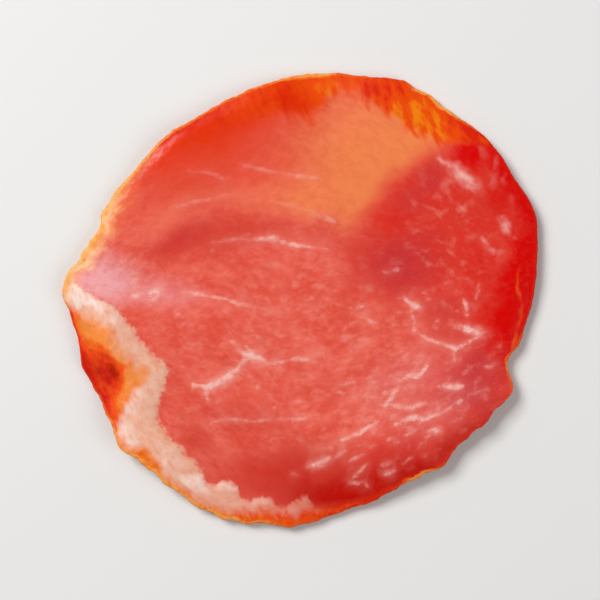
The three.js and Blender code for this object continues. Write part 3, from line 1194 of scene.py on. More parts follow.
    def colouring(self, spots: Spots, level: float) -> Colouring:
        """Works out everything that varies over a face.

        Args:
            spots: The face's spots.
            level: A number that sets this face's fine patterns apart from the other's.

        Returns:
            The lists for the mesh's spots.
        """
        x, y, degrees = spots.x, spots.y, spots.degrees
        wx, wy = self.stray.moved(x, y)
        offset, half, pale, glow = self.marbling.measure(x, y)
        redness = strongest(self.scarlet, wx, wy) - strongest(self.golden, wx, wy)
        numbers = {
            "fat_in": self.fat.inside(spots),
            "fat_strength": by_angle(self.fat_strength, degrees),
            "white": strongest(self.white, wx, wy),
            "crust": ramp(self.crust.inside(spots), *self.crust_soft),
            "spice_in": self.spice.inside(spots) / by_angle(self.stain_soft, degrees),
            "stain_tone": redness + by_angle(self.stain_tones, degrees),
            "burnt": strongest(self.burnt, wx, wy),
            "combed": by_angle(self.combed, degrees),
            "gold": by_angle(self.gold, degrees),
            "line_in": spots.rim_gap / by_angle(self.line_width, degrees),
            "haze": self.marbling.haze(x, y),
            "spotty": strongest(self.marbling.spotty, wx, wy),
            "vein_offset": offset,
            "vein_half": half,
            "vein_pale": pale,
            "vein_glow": glow,
        }
        numbers.update((tone.name, tone.over(spots, wx, wy, self.under_edges)) for tone in self.tones)
        levels = np.full_like(x, level)
        along, across = turned(x, y, self.streaks_toward)
        drawn = along * (1 - self.streak_stretch * ramp(y, *self.streak_heights))
        places = {
            Course.GRAIN: np.stack([*self.grain(x, y), levels], 1),
            Course.BAND: np.stack([np.radians(degrees) * self.rim_radius, spots.rim_gap, levels], 1),
            Course.STREAKS: np.stack([drawn, across, levels], 1),
        }
        return Colouring(numbers, places)


@dataclass(frozen=True)
class CutFace:
    """The slice's thickness and the fine relief of its cut face, in mm.

    Attributes:
        thickness: How thick the slice is.
        thinning: How much thinner the rim is.
        thin_from: The share of the radius where the rim begins to thin.
        waves: The low waves of the face.
        fat_proud: How far the fat stands proud.
        fat_ends: Where it begins to, and where it does so fully, as distances in from its edge.
        fat_lumps: The lumps in the fat.
        fat_ridges: Its finer ridges, which run in from the rim.
        vein_proud: How far a vein stands proud.
        vein_soft: Half the width over which its edge rises to that.
        fibres: The fibres of the lean.
        cells: The fine unevenness between them.
        folds: The larger and the smaller folds in the stained fat.
        folds_toward: The direction in which they run, in degrees.
        stain_ends: Where the stain begins to fold the fat, and where it does so fully.
        crease_sink: How far the face sinks where the stain is darkest.
        red_depth: The share of that by which the folds sink where they are reddest.
    """

    thickness: float = 1.4
    thinning: float = 0.3
    thin_from: float = 0.92
    waves: tuple[FaceWave, ...] = (FaceWave(20, 17, 0.07), FaceWave(75, 11, 0.06), FaceWave(130, 23, 0.08))
    fat_proud: float = 0.3
    fat_ends: Point = (-1.0, 1.4)
    fat_lumps: Lumps = Lumps(2.3, 51, 0.1)
    fat_ridges: Lumps = Lumps(1.8, 53, 0.06, 0.5)
    vein_proud: float = 0.05
    vein_soft: float = 0.3
    fibres: Lumps = Lumps(0.8, 55, 0.014, 3.5)
    cells: Lumps = Lumps(0.9, 57, 0.022)
    folds: tuple[Lumps, ...] = (Lumps(1.3, 65, 0.22, 2.4), Lumps(0.6, 67, 0.11, 1.5))
    folds_toward: float = -50.0
    stain_ends: Point = (-1.0, 0.6)
    crease_sink: float = 0.24
    red_depth: float = 0.6

    def body(self, spots: Spots) -> Array:
        """Returns the plain thickness of the slice at each spot."""
        waves = sum(wave.over(spots.x, spots.y) for wave in self.waves)
        return self.thickness + waves - self.thinning * ramp(spots.share, self.thin_from, 1)

    def relief(self, spots: Spots, colouring: Colouring) -> Array:
        """Works out the fine relief of a face.

        Args:
            spots: The face's spots.
            colouring: What varies over the face.

        Returns:
            How far each spot stands out of the plain face.
        """
        numbers = colouring.numbers
        along, across, level = colouring.places[Course.GRAIN].T
        arc, depth, _ = colouring.places[Course.BAND].T
        down, beside = turned(spots.x, spots.y, self.folds_toward)
        in_fat = ramp(numbers["fat_in"], *self.fat_ends) * numbers["fat_strength"]
        lumpy = self.fat_lumps.over(spots.x, spots.y) + self.fat_ridges.over(arc, depth)
        grainy = sum(lumps.over(along, across, level[0]) for lumps in (self.fibres, self.cells))
        gap = numbers["vein_half"] - np.abs(numbers["vein_offset"])
        veined = self.vein_proud * ramp(gap, -self.vein_soft, self.vein_soft) * numbers["vein_pale"]
        folded = in_fat * ramp(numbers["spice_in"], *self.stain_ends)
        folds = folded * sum(lumps.over(down, beside) for lumps in self.folds)
        reddest = self.red_depth * np.maximum(0, numbers["stain_tone"]) * folded
        sunk = self.crease_sink * np.maximum(numbers["burnt"], reddest)
        return in_fat * (self.fat_proud + lumpy) + (1 - in_fat) * (grainy + veined) + folds - sunk


@dataclass(frozen=True)
class Disc:
    """A face of the slice as rings of spots, where each ring has six spots more than the one inside it.

    Attributes:
        outline: The slice's outline.
        rings: How many rings there are.
        sides: By how many spots each ring grows.
    """

    outline: Outline
    rings: int
    sides: int = 6

    def start(self, ring: int) -> int:
        """Returns the number of the first spot in a ring, where ring 0 is the middle spot."""
        return 0 if ring == 0 else 1 + self.sides * ring * (ring - 1) // 2

    @property
    def around(self) -> int:
        """How many spots the rim has."""
        return self.sides * self.rings

    @property
    def rim(self) -> slice:
        """The spots of the rim."""
        return slice(self.start(self.rings), None)

    def spots(self) -> Spots:
        """Places the spots.

        Returns:
            The spots of the face, ring by ring.
        """
        share, degrees = [np.zeros(1)], [np.zeros(1)]
        for ring in range(1, self.rings + 1):
            count = self.sides * ring
            share.append(np.full(count, ring / self.rings))
            degrees.append(360 * np.arange(count) / count)
        return Spots.of(self.outline, np.concatenate(share), np.concatenate(degrees))

    def triangles(self) -> Array:
        """Joins the rings.

        Returns:
            Three spots for each triangle, anticlockwise from above.
        """
        faces = []
        for ring in range(1, self.rings + 1):
            inner, outer = self.start(ring - 1), self.start(ring)
            inner_count, outer_count = max(1, self.sides * (ring - 1)), self.sides * ring
            side, step = np.divmod(np.arange(outer_count), ring)
            out = side * ring + step
            inward = side * (ring - 1) + step
            here = inner + inward % inner_count
            next_out = outer + (out + 1) % outer_count
            faces.append(np.stack([here, outer + out, next_out], 1))
            more = step < ring - 1
            next_in = inner + (inward + 1) % inner_count
            faces.append(np.stack([here, next_out, next_in], 1)[more])
        return np.concatenate(faces)


@dataclass(frozen=True)
class SliceMesh:
    """The slice's fine mesh: two faces made of rings, joined by a rounded rim.

    Attributes:
        outline: The slice's outline.
        lie: How the slice lies.
        face: Its thickness and relief.
        meat: How fat, spice and tones lie in it.
        under_rings: How many rings the underside has. The cut face has twice as many.
        rim_rows: How many rows of spots lie between the faces.
        rim_round: How far the rim's middle stands out, in mm.
        rim_lumps: How unevenly it does so.
        row_shift: How far apart two rows read those lumps, in mm, so that they differ.
        row_level: How far apart they read the meat's fine patterns, in mm.
        under_relief: The share of the relief that the underside has.
        under_clear: The height over the floor at which the underside has all of that, in mm.
        cut_level: The number that sets the cut face's fine patterns apart from the underside's.
        under_level: The underside's number.
    """

    outline: Outline = Outline()
    lie: Lie = Lie()
    face: CutFace = CutFace()
    meat: Meat = Meat()
    under_rings: int = 78
    rim_rows: int = 3
    rim_round: float = 0.24
    rim_lumps: Lumps = Lumps(0.9, 61, 0.5)
    row_shift: float = 9.0
    row_level: float = 0.35
    under_relief: float = 0.4
    under_clear: float = 0.5
    cut_level: float = 7.3
    under_level: float = 43.1

    def build(self, middle: Vector) -> bpy.types.Object:
        """Makes the slice.

        Args:
            middle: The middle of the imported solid's box, in metres. The slice's own box is centred on it.

        Returns:
            The slice's object, in the frame.
        """
        cut, under = Disc(self.outline, 2 * self.under_rings), Disc(self.outline, self.under_rings)
        top, bottom = cut.spots(), under.spots()
        top_colouring = self.meat.colouring(top, self.cut_level)
        bottom_colouring = self.meat.colouring(bottom, self.under_level)
        base = self.lie.underside(top.share, top.degrees)
        high = base + self.face.body(top) + self.face.relief(top, top_colouring)
        low = self.lie.underside(bottom.share, bottom.degrees)
        clear = ramp(low, 0, self.under_clear)
        low = np.maximum(0, low - self.under_relief * self.face.relief(bottom, bottom_colouring) * clear)
        rows = self.rim_places(cut, top, base, high)
        faces = [np.stack([top.x, top.y, high], 1), np.stack([bottom.x, bottom.y, low], 1)]
        points = np.concatenate([*faces, *rows])
        box_middle = (points[:, :2].min(0) + points[:, :2].max(0)) / 2
        points[:, :2] += np.array(middle.xy) / METRES - box_middle
        mesh = bpy.data.meshes.new(PIECE)
        mesh.from_pydata((points * METRES).tolist(), [], self.join(cut, under).tolist())
        mesh.shade_smooth()
        self.paint(mesh, cut, top_colouring, bottom_colouring)
        return put(PIECE, mesh)

    def rim_places(self, disc: Disc, spots: Spots, low: Array, high: Array) -> list[Array]:
        """Places the rows of spots between the two faces.

        Args:
            disc: The cut face.
            spots: Its spots.
            low: The height of the underside at each.
            high: The height of the cut face at each.

        Returns:
            One list of places for each row, from the lowest up.
        """
        x, y, angle = spots.x[disc.rim], spots.y[disc.rim], np.radians(spots.degrees[disc.rim])
        rows = []
        for row in range(1, self.rim_rows + 1):
            up = row / (self.rim_rows + 1)
            uneven = 1 + self.rim_lumps.over(x, y + self.row_shift * row)
            out = self.rim_round * math.sin(math.pi * up) * uneven
            height = low[disc.rim] + up * (high - low)[disc.rim]
            rows.append(np.stack([x + out * np.cos(angle), y + out * np.sin(angle), height], 1))
        return rows

    def join(self, cut: Disc, under: Disc) -> Array:
        """Joins both faces and the rim.

        Args:
            cut: The cut face.
            under: The underside, whose rim has half as many spots.

        Returns:
            Three points for each triangle, seen anticlockwise from outside.
        """
        cut_count = cut.start(cut.rings + 1)
        rim_start = cut_count + under.start(under.rings + 1)
        starts = [rim_start + row * cut.around for row in range(self.rim_rows)] + [cut.start(cut.rings)]
        here = np.arange(under.around)
        there = (here + 1) % under.around
        low, high = cut_count + under.start(under.rings), starts[0]
        left, mid, right = high + 2 * here, high + 2 * here + 1, high + 2 * there
        rim = [
            np.stack([low + here, low + there, mid], 1),
            np.stack([low + here, mid, left], 1),
            np.stack([low + there, right, mid], 1),
        ]
        here = np.arange(cut.around)
        there = (here + 1) % cut.around
        for low, high in zip(starts, starts[1:]):
            rim.append(np.stack([low + here, low + there, high + there], 1))
            rim.append(np.stack([low + here, high + there, high + here], 1))
        return np.concatenate([cut.triangles(), cut_count + under.triangles()[:, ::-1], *rim])

    def paint(self, mesh: bpy.types.Mesh, cut: Disc, top: Colouring, bottom: Colouring) -> None:
        """Stores everything that varies over the slice on its mesh, for its finish to read.

        Args:
            mesh: The slice's mesh.
            cut: The cut face.
            top: What varies over the cut face.
            bottom: What varies over the underside.
        """
        numbers = {
            name: [top.numbers[name], bottom.numbers[name], *[top.numbers[name][cut.rim]] * self.rim_rows]
            for name in top.numbers
        }
        walls = [0.0, 0.0, *[1.0] * self.rim_rows]
        numbers["wall"] = [np.full(len(part), wall) for part, wall in zip(numbers["line_in"], walls)]
        for name, parts in numbers.items():
            layer = mesh.attributes.new(name, "FLOAT", "POINT")
            layer.data.foreach_set("value", np.concatenate(parts).astype(np.float32))
        down = np.array([0.0, 0.0, self.row_level])
        for course, face in top.places.items():
            rows = [face[cut.rim] + (self.rim_rows - row) * down for row in range(self.rim_rows)]
            layer = mesh.attributes.new(course.value, "FLOAT_VECTOR", "POINT")
            layer.data.foreach_set("vector", np.concatenate([face, bottom.places[course], *rows]).ravel())


class Value:
    """A number that varies over a surface, on which sums are written as plain expressions."""

    MIDDLE = 0.5  # what a cloudy pattern is on average

    def __init__(self, shader: "Shader", socket: bpy.types.NodeSocket) -> None:
        """Wraps a socket.

        Args:
            shader: The shader whose socket it is.
            socket: The socket.
        """
        self.shader = shader
        self.socket = socket

    def _sum(self, operation: str, first: "Number", second: "Number") -> "Value":
        """Adds one sum to the shader.

        Args:
            operation: What to do with the two numbers.
            first: The first number.
            second: The second number.

        Returns:
            The result.
        """
        node = self.shader.node("ShaderNodeMath", {"operation": operation}, {0: first, 1: second})
        return Value(self.shader, node.outputs[0])

    def __add__(self, other: "Number") -> "Value":
        """Returns the sum."""
        return self._sum("ADD", self, other)

    def __radd__(self, other: float) -> "Value":
        """Returns the sum."""
        return self._sum("ADD", other, self)

    def __sub__(self, other: "Number") -> "Value":
        """Returns the difference."""
        return self._sum("SUBTRACT", self, other)

    def __rsub__(self, other: float) -> "Value":
        """Returns the difference."""
        return self._sum("SUBTRACT", other, self)

    def __mul__(self, other: "Number") -> "Value":
        """Returns the product."""
        return self._sum("MULTIPLY", self, other)

    def __rmul__(self, other: float) -> "Value":
        """Returns the product."""
        return self._sum("MULTIPLY", other, self)

    def size(self) -> "Value":
        """Returns the number without its sign."""
        return self._sum("ABSOLUTE", self, 0.0)

    def swing(self, amount: float) -> "Value":
        """Returns a cloudy pattern as a swing to both sides of 0, of at most half the amount."""
        return amount * (self - self.MIDDLE)

    def rise(self, start: float, end: float) -> "Value":
        """Rises smoothly from 0 at start to 1 at end, which may be the lower of the two.

        Args:
            start: The value where it leaves 0.
            end: The value where it reaches 1.

        Returns:
            A number from 0 to 1.
        """
        if start > end:
            return 1 - self.rise(end, start)
        settings = {"interpolation_type": "SMOOTHSTEP"}
        node = self.shader.node("ShaderNodeMapRange", settings, {0: self, 1: start, 2: end, 3: 0.0, 4: 1.0})
        return Value(self.shader, node.outputs[0])


Number = Union[Value, float]
Paint = Union[bpy.types.NodeSocket, Pigment]
Setting = Union[str, float, bool]


@dataclass(frozen=True)
class Clouds:
    """A cloudy pattern over the surface.

    Attributes:
        size: How far apart its clouds lie, in mm.
        squeeze: What places along it are multiplied by before it is read. Less than 1 draws the clouds out.
        detail: How many finer layers it has.
        rough: How strong those are.
        course: The course that it follows.
    """

    size: float
    squeeze: float = 1.0
    detail: float = 3.0
    rough: float = 0.5
    course: Course = Course.GRAIN


class Blend(Enum):
    """How a colour is joined with the one underneath."""

    COVER = "MIX"
    TINT = "MULTIPLY"


@dataclass(frozen=True)
class Wash:
    """A colour that is laid over another as far as a number says.

    Attributes:
        colour: The colour.
        share: How much of it shows at most.
        ends: Where the number leaves it unseen, and where all of its share shows.
        least: How much of it shows everywhere, beside its share.
        blend: How it is joined with the colour underneath.
    """

    colour: Pigment
    share: float = 1.0
    ends: Point = (0.0, 1.0)
    least: float = 0.0
    blend: Blend = Blend.COVER

    def shown(self, by: Value) -> Value:
        """Returns how much of it a number shows."""
        risen = by.rise(*self.ends)
        shared = risen if self.share == 1.0 else self.share * risen
        return self.least + shared if self.least else shared


class Shader:
    """The nodes of one material."""

    MIX_SHARE, MIX_UNDER, MIX_OVER, MIX_RESULT = 0, 6, 7, 2

    def __init__(self, name: str) -> None:
        """Starts a material with no nodes.

        Args:
            name: The material's name.
        """
        self.material = bpy.data.materials.new(name)
        self.material.use_nodes = True
        self.tree = self.material.node_tree
        self.tree.nodes.clear()

    def node(
        self,
        kind: str,
        settings: Mapping[str, Setting],
        sockets: Mapping[Union[int, str], object],
    ) -> bpy.types.Node:
        """Adds a node.

        Args:
            kind: The node's type.
            settings: Its settings, which are set first.
            sockets: The value or link of each input, by its name or number.

        Returns:
            The node.
        """
        node = self.tree.nodes.new(kind)
        for name, setting in settings.items():
            setattr(node, name, setting)
        for key, given in sockets.items():
            source = given.socket if isinstance(given, Value) else given
            if isinstance(source, bpy.types.NodeSocket):
                self.tree.links.new(source, node.inputs[key])
            elif isinstance(source, tuple) and node.inputs[key].type == "RGBA":
                node.inputs[key].default_value = (*source, 1.0)
            else:
                node.inputs[key].default_value = source
        return node

    def number(self, name: str) -> Value:
        """Returns the mesh's list of numbers of that name."""
        node = self.node("ShaderNodeAttribute", {"attribute_name": name}, {})
        return Value(self, node.outputs["Fac"])

    def clouds(self, pattern: Clouds) -> Value:
        """Adds a cloudy pattern.

        Args:
            pattern: The pattern.

        Returns:
            A number from 0 to 1, mostly near 0.5.
        """
        read = self.node("ShaderNodeAttribute", {"attribute_name": pattern.course.value}, {})
        places = {0: read.outputs["Vector"], 1: (pattern.squeeze, 1.0, 1.0)}
        at = self.node("ShaderNodeVectorMath", {"operation": "MULTIPLY"}, places).outputs[0]
        layers = {"Detail": pattern.detail, "Roughness": pattern.rough}
        noise_node = self.node("ShaderNodeTexNoise", {}, {"Vector": at, "Scale": 1 / pattern.size, **layers})
        return Value(self, noise_node.outputs["Fac"])

    def mix(
        self, under: Paint, over: Paint, share: Number, blend: Blend = Blend.COVER
    ) -> bpy.types.NodeSocket:
        """Lays one colour over another.

        Args:
            under: The colour underneath.
            over: The colour on top.
            share: How much of the colour on top shows.
            blend: How the two are joined.

        Returns:
            The joined colour.
        """
        sockets = {self.MIX_SHARE: share, self.MIX_UNDER: under, self.MIX_OVER: over}
        node = self.node("ShaderNodeMix", {"data_type": "RGBA", "blend_type": blend.value}, sockets)
        return node.outputs[self.MIX_RESULT]

    def wash(self, under: Paint, wash: Wash, by: Value, also: Optional[Value] = None) -> bpy.types.NodeSocket:
        """Lays a wash over a colour.

        Args:
            under: The colour underneath.
            wash: The wash.
            by: The number that shows the wash.
            also: What the part that shows is multiplied by, if anything.

        Returns:
            The colour with the wash.
        """
        shown = wash.shown(by) if also is None else wash.shown(by) * also
        return self.mix(under, wash.colour, shown, wash.blend)

    def finish(self, sockets: Mapping[str, object]) -> bpy.types.Material:
        """Ends the material.

        Args:
            sockets: The surface's inputs.

        Returns:
            The material.
        """
        surface = self.node("ShaderNodeBsdfPrincipled", {}, sockets)
        self.node("ShaderNodeOutputMaterial", {}, {"Surface": surface.outputs[0]})
        return self.material


THREAD: Pigment = pigment(247, 172, 156)  # pale threads between the fibres
HOLLOW: Pigment = (0.82, 0.58, 0.52)  # how dark the spaces between the fibres are
MARBLE: Pigment = pigment(246, 192, 182)  # fat in the lean
ROSE: Pigment = pigment(232, 138, 104)  # lean that shows through the band of fat


@dataclass(frozen=True)
class LeanPaint:
    """The lean's colour: its red, its mottling, its fibres and its tones, among which are painted shade, sheen
    and highlight.

    Attributes:
        tones: Its tones, in the order in which they are laid over each other.
        red: Its usual red.
        pale: Its paler patches.
        hollow: How dark the spaces between the fibres are, under the tones.
        thread: The pale threads between the fibres.
        long_thread: The longer and fainter ones.
        late_hollow: How dark the spaces are over the tones.
        gleam: How much lighter the fibres are.
        clouds: The pattern of the paler patches.
        cells: The pattern of the fibres.
        lines: The pattern of the longer threads.
        calm: How much of the pattern of fibres the lean has where it has no pale spots.
    """

    tones: tuple[Tone, ...]
    red: Pigment = pigment(226, 78, 60)
    pale: Wash = Wash(pigment(236, 106, 89), 0.6, (0.36, 0.64), 0.2)
    hollow: Wash = Wash(HOLLOW, 0.26, (0.52, 0.3), blend=Blend.TINT)
    thread: Wash = Wash(THREAD, 0.28, (0.47, 0.74))
    long_thread: Wash = Wash(THREAD, 0.08, (0.5, 0.76))
    late_hollow: Wash = Wash(HOLLOW, 0.14, (0.56, 0.34), blend=Blend.TINT)
    gleam: Wash = Wash((1.04, 1.2, 1.2), 0.3, (0.46, 0.74), blend=Blend.TINT)
    clouds: Clouds = Clouds(4.0, 0.7)
    cells: Clouds = Clouds(1.1, 0.74, rough=0.55)
    lines: Clouds = Clouds(1.0, 0.4, 2.0)
    calm: float = 0.5

    def paint(self, shader: Shader) -> bpy.types.NodeSocket:
        """Paints the lean.

        Args:
            shader: The material's shader.

        Returns:
            The lean's colour.
        """
        cells, lines = shader.clouds(self.cells), shader.clouds(self.lines)
        grainy = self.calm + (1 - self.calm) * shader.number("spotty")
        colour = shader.wash(self.red, self.pale, shader.clouds(self.clouds))
        colour = shader.wash(colour, self.hollow, cells, grainy)
        colour = shader.wash(colour, self.thread, cells, grainy)
        colour = shader.wash(colour, self.long_thread, lines, grainy)
        for tone in self.tones:
            share = shader.number(tone.name) * (1 + cells.swing(2 * tone.mottled))
            colour = shader.mix(colour, tone.colour, share)
        return shader.wash(shader.wash(colour, self.late_hollow, cells), self.gleam, lines)


@dataclass(frozen=True)
class VeinPaint:
    """The veins, the small flecks and the clouds of fat that lie over the lean.

    Attributes:
        vein: The veins and flecks, by how far a place lies inside them in mm.
        haze: The clouds of fat.
        glow: The paler lean beside a vein.
        spot: The faint pale spots.
        fine: The pattern of the fat's fine grain.
        beads: The pattern that breaks a vein into beads.
        spots: The pattern of the spots.
        beaded: Where in their pattern the beads begin, and where they are whole.
        ragged: How far the fine grain and the beads move a vein's edge, in mm.
        vein_parts: How pale a vein is everywhere, and how much paler the fine grain and the beads make it.
        haze_parts: The same for the clouds, in the order everywhere, beads and fine grain.
        glow_parts: The same for the glow, everywhere and by the fine grain.
    """

    vein: Wash = Wash(MARBLE, ends=(-0.36, 0.5))
    haze: Wash = Wash(MARBLE, 0.7)
    glow: Wash = Wash(THREAD, 0.24)
    spot: Wash = Wash(THREAD, 0.36, (0.52, 0.74))
    fine: Clouds = Clouds(0.5, 0.7, 4.0, 0.6)
    beads: Clouds = Clouds(1.4, 0.8, rough=0.6)
    spots: Clouds = Clouds(2.4, 0.9, 2.0)
    beaded: Point = (0.34, 0.66)
    ragged: Point = (0.8, 1.2)
    vein_parts: tuple[float, ...] = (0.2, 0.4, 0.5)
    haze_parts: tuple[float, ...] = (0.35, 0.55, 0.3)
    glow_parts: Point = (0.4, 1.2)

    def paint(self, shader: Shader, colour: bpy.types.NodeSocket) -> bpy.types.NodeSocket:
        """Lays the fat over the lean.

        Args:
            shader: The material's shader.
            colour: The lean's colour.

        Returns:
            The colour with it.
        """
        fine, beads = shader.clouds(self.fine), shader.clouds(self.beads)
        bright = beads.rise(*self.beaded)
        gap = shader.number("vein_half") - shader.number("vein_offset").size()
        edge = gap + fine.swing(self.ragged[0]) + beads.swing(self.ragged[1])
        core = self.vein.shown(edge) * shader.number("vein_pale")
        least, by_bead, by_grain = self.haze_parts
        haze = shader.number("haze") * (least + by_bead * bright + by_grain * fine)
        glow = self.glow.share * shader.number("vein_glow")
        colour = shader.wash(colour, self.spot, shader.clouds(self.spots), shader.number("spotty"))
        colour = shader.mix(colour, self.glow.colour, glow * (self.glow_parts[0] + self.glow_parts[1] * fine))
        colour = shader.mix(colour, self.haze.colour, self.haze.share * haze)
        least, by_grain, by_bead = self.vein_parts
        return shader.mix(colour, self.vein.colour, core * (least + by_grain * fine + by_bead * bright))


@dataclass(frozen=True)
class FatPaint:
    """The band of fat.

    Attributes:
        cream: The fat's usual colour.
        white: Its whitest parts, partly its own colour and partly painted highlight.
        rosy: Where lean shows through it in clouds.
        rosy_line: Where it does so in lines along the rim.
        rosy_edge: Where it does so along the band's inner edge, by the distance in mm from that.
        clouds: The pattern of the clouds.
        lines: The pattern of the lines.
        edge: The pattern that makes the inner edge ragged.
        ragged: How strongly, in mm.
        edge_ends: Where the band begins and where it is whole, in mm in from its edge.
        whitened: How strongly the clouds move the edges of the whitest parts.
    """

    cream: Pigment = pigment(237, 182, 156)
    white: Wash = Wash(pigment(248, 219, 205))
    rosy: Wash = Wash(ROSE, 0.3, (0.5, 0.3))
    rosy_line: Wash = Wash(ROSE, 0.34, (0.54, 0.34))
    rosy_edge: Wash = Wash(ROSE, 0.3, (1.1, 0.0))
    clouds: Clouds = Clouds(2.2)
    lines: Clouds = Clouds(0.8, 0.4, rough=0.6, course=Course.BAND)
    edge: Clouds = Clouds(0.9, 0.8, 2.0)
    ragged: float = 1.8
    edge_ends: Point = (-0.5, 0.45)
    whitened: float = 1.4

    def mask(self, shader: Shader) -> Value:
        """Returns how much of the surface is the fat of the band, whose inner edge is finely ragged."""
        edge = shader.number("fat_in") + shader.clouds(self.edge).swing(self.ragged)
        return edge.rise(*self.edge_ends) * shader.number("fat_strength")

    def paint(self, shader: Shader) -> bpy.types.NodeSocket:
        """Paints the band of fat.

        Args:
            shader: The material's shader.

        Returns:
            The fat's colour.
        """
        clouds = shader.clouds(self.clouds)
        # The whitest parts are partly the fat's own colour and partly painted highlight where the swollen fat
        # catches the light.
        white = self.white.shown(shader.number("white") + clouds.swing(self.whitened))
        colour = shader.mix(self.cream, self.white.colour, white)
        colour = shader.wash(colour, self.rosy, clouds, 1 - white)
        colour = shader.wash(colour, self.rosy_line, shader.clouds(self.lines))
        return shader.wash(colour, self.rosy_edge, shader.number("fat_in"))


@dataclass(frozen=True)
class SpicePaint:
    """The spice stain.

    Attributes:
        gold: The stain where it is thin.
        orange: Its usual colour, by how deep it is.
        red: Where it is deepest.
        burnt: The darkest of it, partly stain and partly painted shade of the crease beside the lobe.
        usual: How deep the stain is where nothing makes it deeper.
        ends: Where it begins and where it is whole, in mm in from its edge.
        cover: How much of the colour underneath it hides.
        on_fat: How much of the fat it hides everywhere, how much more where it is deep, and how deep that is.
        fat_calms: How much less uneven it is on the fat.
        streaks: The pattern that combs it into streaks.
        grain: The pattern of its fine grain.
        edge_swings: How far streaks and grain move its edge, in mm.
        depth_swings: How much they change how deep it is.
        darkness_swings: How much they change how dark it is.
    """

    gold: Pigment = pigment(240, 130, 10)
    orange: Wash = Wash(pigment(235, 74, 0), ends=(0.05, 0.5))
    red: Wash = Wash(pigment(218, 28, 0), ends=(0.5, 1.05))
    burnt: Wash = Wash(pigment(168, 12, 0), 0.85, (0.12, 1.05))
    usual: float = 0.62
    ends: Point = (-1.0, 1.2)
    cover: float = 0.985
    on_fat: tuple[float, float, Point] = (0.86, 0.14, (0.0, 0.4))
    fat_calms: float = 0.6
    streaks: Clouds = Clouds(1.1, 0.8, 4.0, 0.55, Course.STREAKS)
    grain: Clouds = Clouds(1.0, 1.0, 4.0, 0.6)
    edge_swings: Point = (3.0, 1.2)
    depth_swings: Point = (1.3, 0.6)
    darkness_swings: Point = (0.5, 0.7)

    def paint(
        self, shader: Shader, colour: bpy.types.NodeSocket, fat: Value
    ) -> tuple[bpy.types.NodeSocket, Value]:
        """Lays the stain over lean and fat.

        Args:
            shader: The material's shader.
            colour: The colour underneath.
            fat: Where the fat is.

        Returns:
            The colour with the stain, and where the stain is.
        """
        streaks, grain = shader.clouds(self.streaks), shader.clouds(self.grain)
        edge, deeper, darker = (
            streaks.swing(by_streak) + grain.swing(by_grain)
            for by_streak, by_grain in (self.edge_swings, self.depth_swings, self.darkness_swings)
        )
        uneven = shader.number("combed") * (1 - self.fat_calms * fat)
        spice = (shader.number("spice_in") + edge * uneven).rise(*self.ends)
        deep = self.usual + shader.number("stain_tone") + deeper * uneven
        stain = shader.wash(shader.wash(self.gold, self.orange, deep), self.red, deep)
        least, more, ends = self.on_fat
        thin = shader.mix(colour, stain, least + more * deep.rise(*ends))
        colour = shader.mix(colour, shader.mix(stain, thin, fat), self.cover * spice)
        # The darkest wash is partly stain and partly painted shade of the crease beside the lobe.
        return shader.wash(colour, self.burnt, shader.number("burnt") + darker), spice


@dataclass(frozen=True)
class RimPaint:
    """The golden crust, the thin line of skin along the rim, and the rim's wall.

    Attributes:
        crust: The crust.
        cream: Its paler parts.
        crust_share: How much of the colour underneath it hides.
        red: The line.
        orange: The line between red and gold, by how golden it is.
        gold: The line where it is golden.
        line_share: How much of the colour underneath the line hides.
        line_ends: Where the line ends and where it is whole, by the distance in from the rim.
        skin: The wall.
        fine: The pattern of the line's fine grain.
        soft: The pattern of the crust.
        golden: How strongly the fine grain changes how golden the line is.
        ragged: How strongly it moves the line's edge.
    """

    crust: Pigment = pigment(243, 157, 76)
    cream: Wash = Wash(pigment(248, 200, 145), ends=(0.34, 0.62))
    crust_share: float = 0.92
    red: Pigment = pigment(214, 30, 0)
    orange: Wash = Wash(pigment(236, 96, 24), ends=(0.0, 0.5))
    gold: Wash = Wash(pigment(250, 182, 84), ends=(0.5, 1.0))
    line_share: float = 0.85
    line_ends: Point = (0.4, 0.02)
    skin: Wash = Wash(pigment(222, 104, 44), 0.45, (0.0, 0.8), 0.1)
    fine: Clouds = Clouds(0.8, 0.7, 4.0, 0.6, Course.BAND)
    soft: Clouds = Clouds(1.6, 0.8, rough=0.6, course=Course.BAND)
    golden: float = 1.6
    ragged: float = 1.5

    def paint(self, shader: Shader, colour: bpy.types.NodeSocket) -> bpy.types.NodeSocket:
        """Lays the crust, draws the line along the rim, and paints the wall.

        Args:
            shader: The material's shader.
            colour: The colour of the face.

        Returns:
            The colour with the rim.
        """
        fine = shader.clouds(self.fine)
        golden = shader.number("gold") + fine.swing(self.golden)
        line = (shader.number("line_in") + fine.swing(self.ragged)).rise(*self.line_ends)
        crust = shader.wash(self.crust, self.cream, shader.clouds(self.soft))
        colour = shader.mix(colour, crust, self.crust_share * shader.number("crust"))
        edge = shader.wash(shader.wash(self.red, self.orange, golden), self.gold, golden)
        colour = shader.mix(colour, edge, self.line_share * line)
        return shader.wash(colour, self.skin, golden, shader.number("wall"))


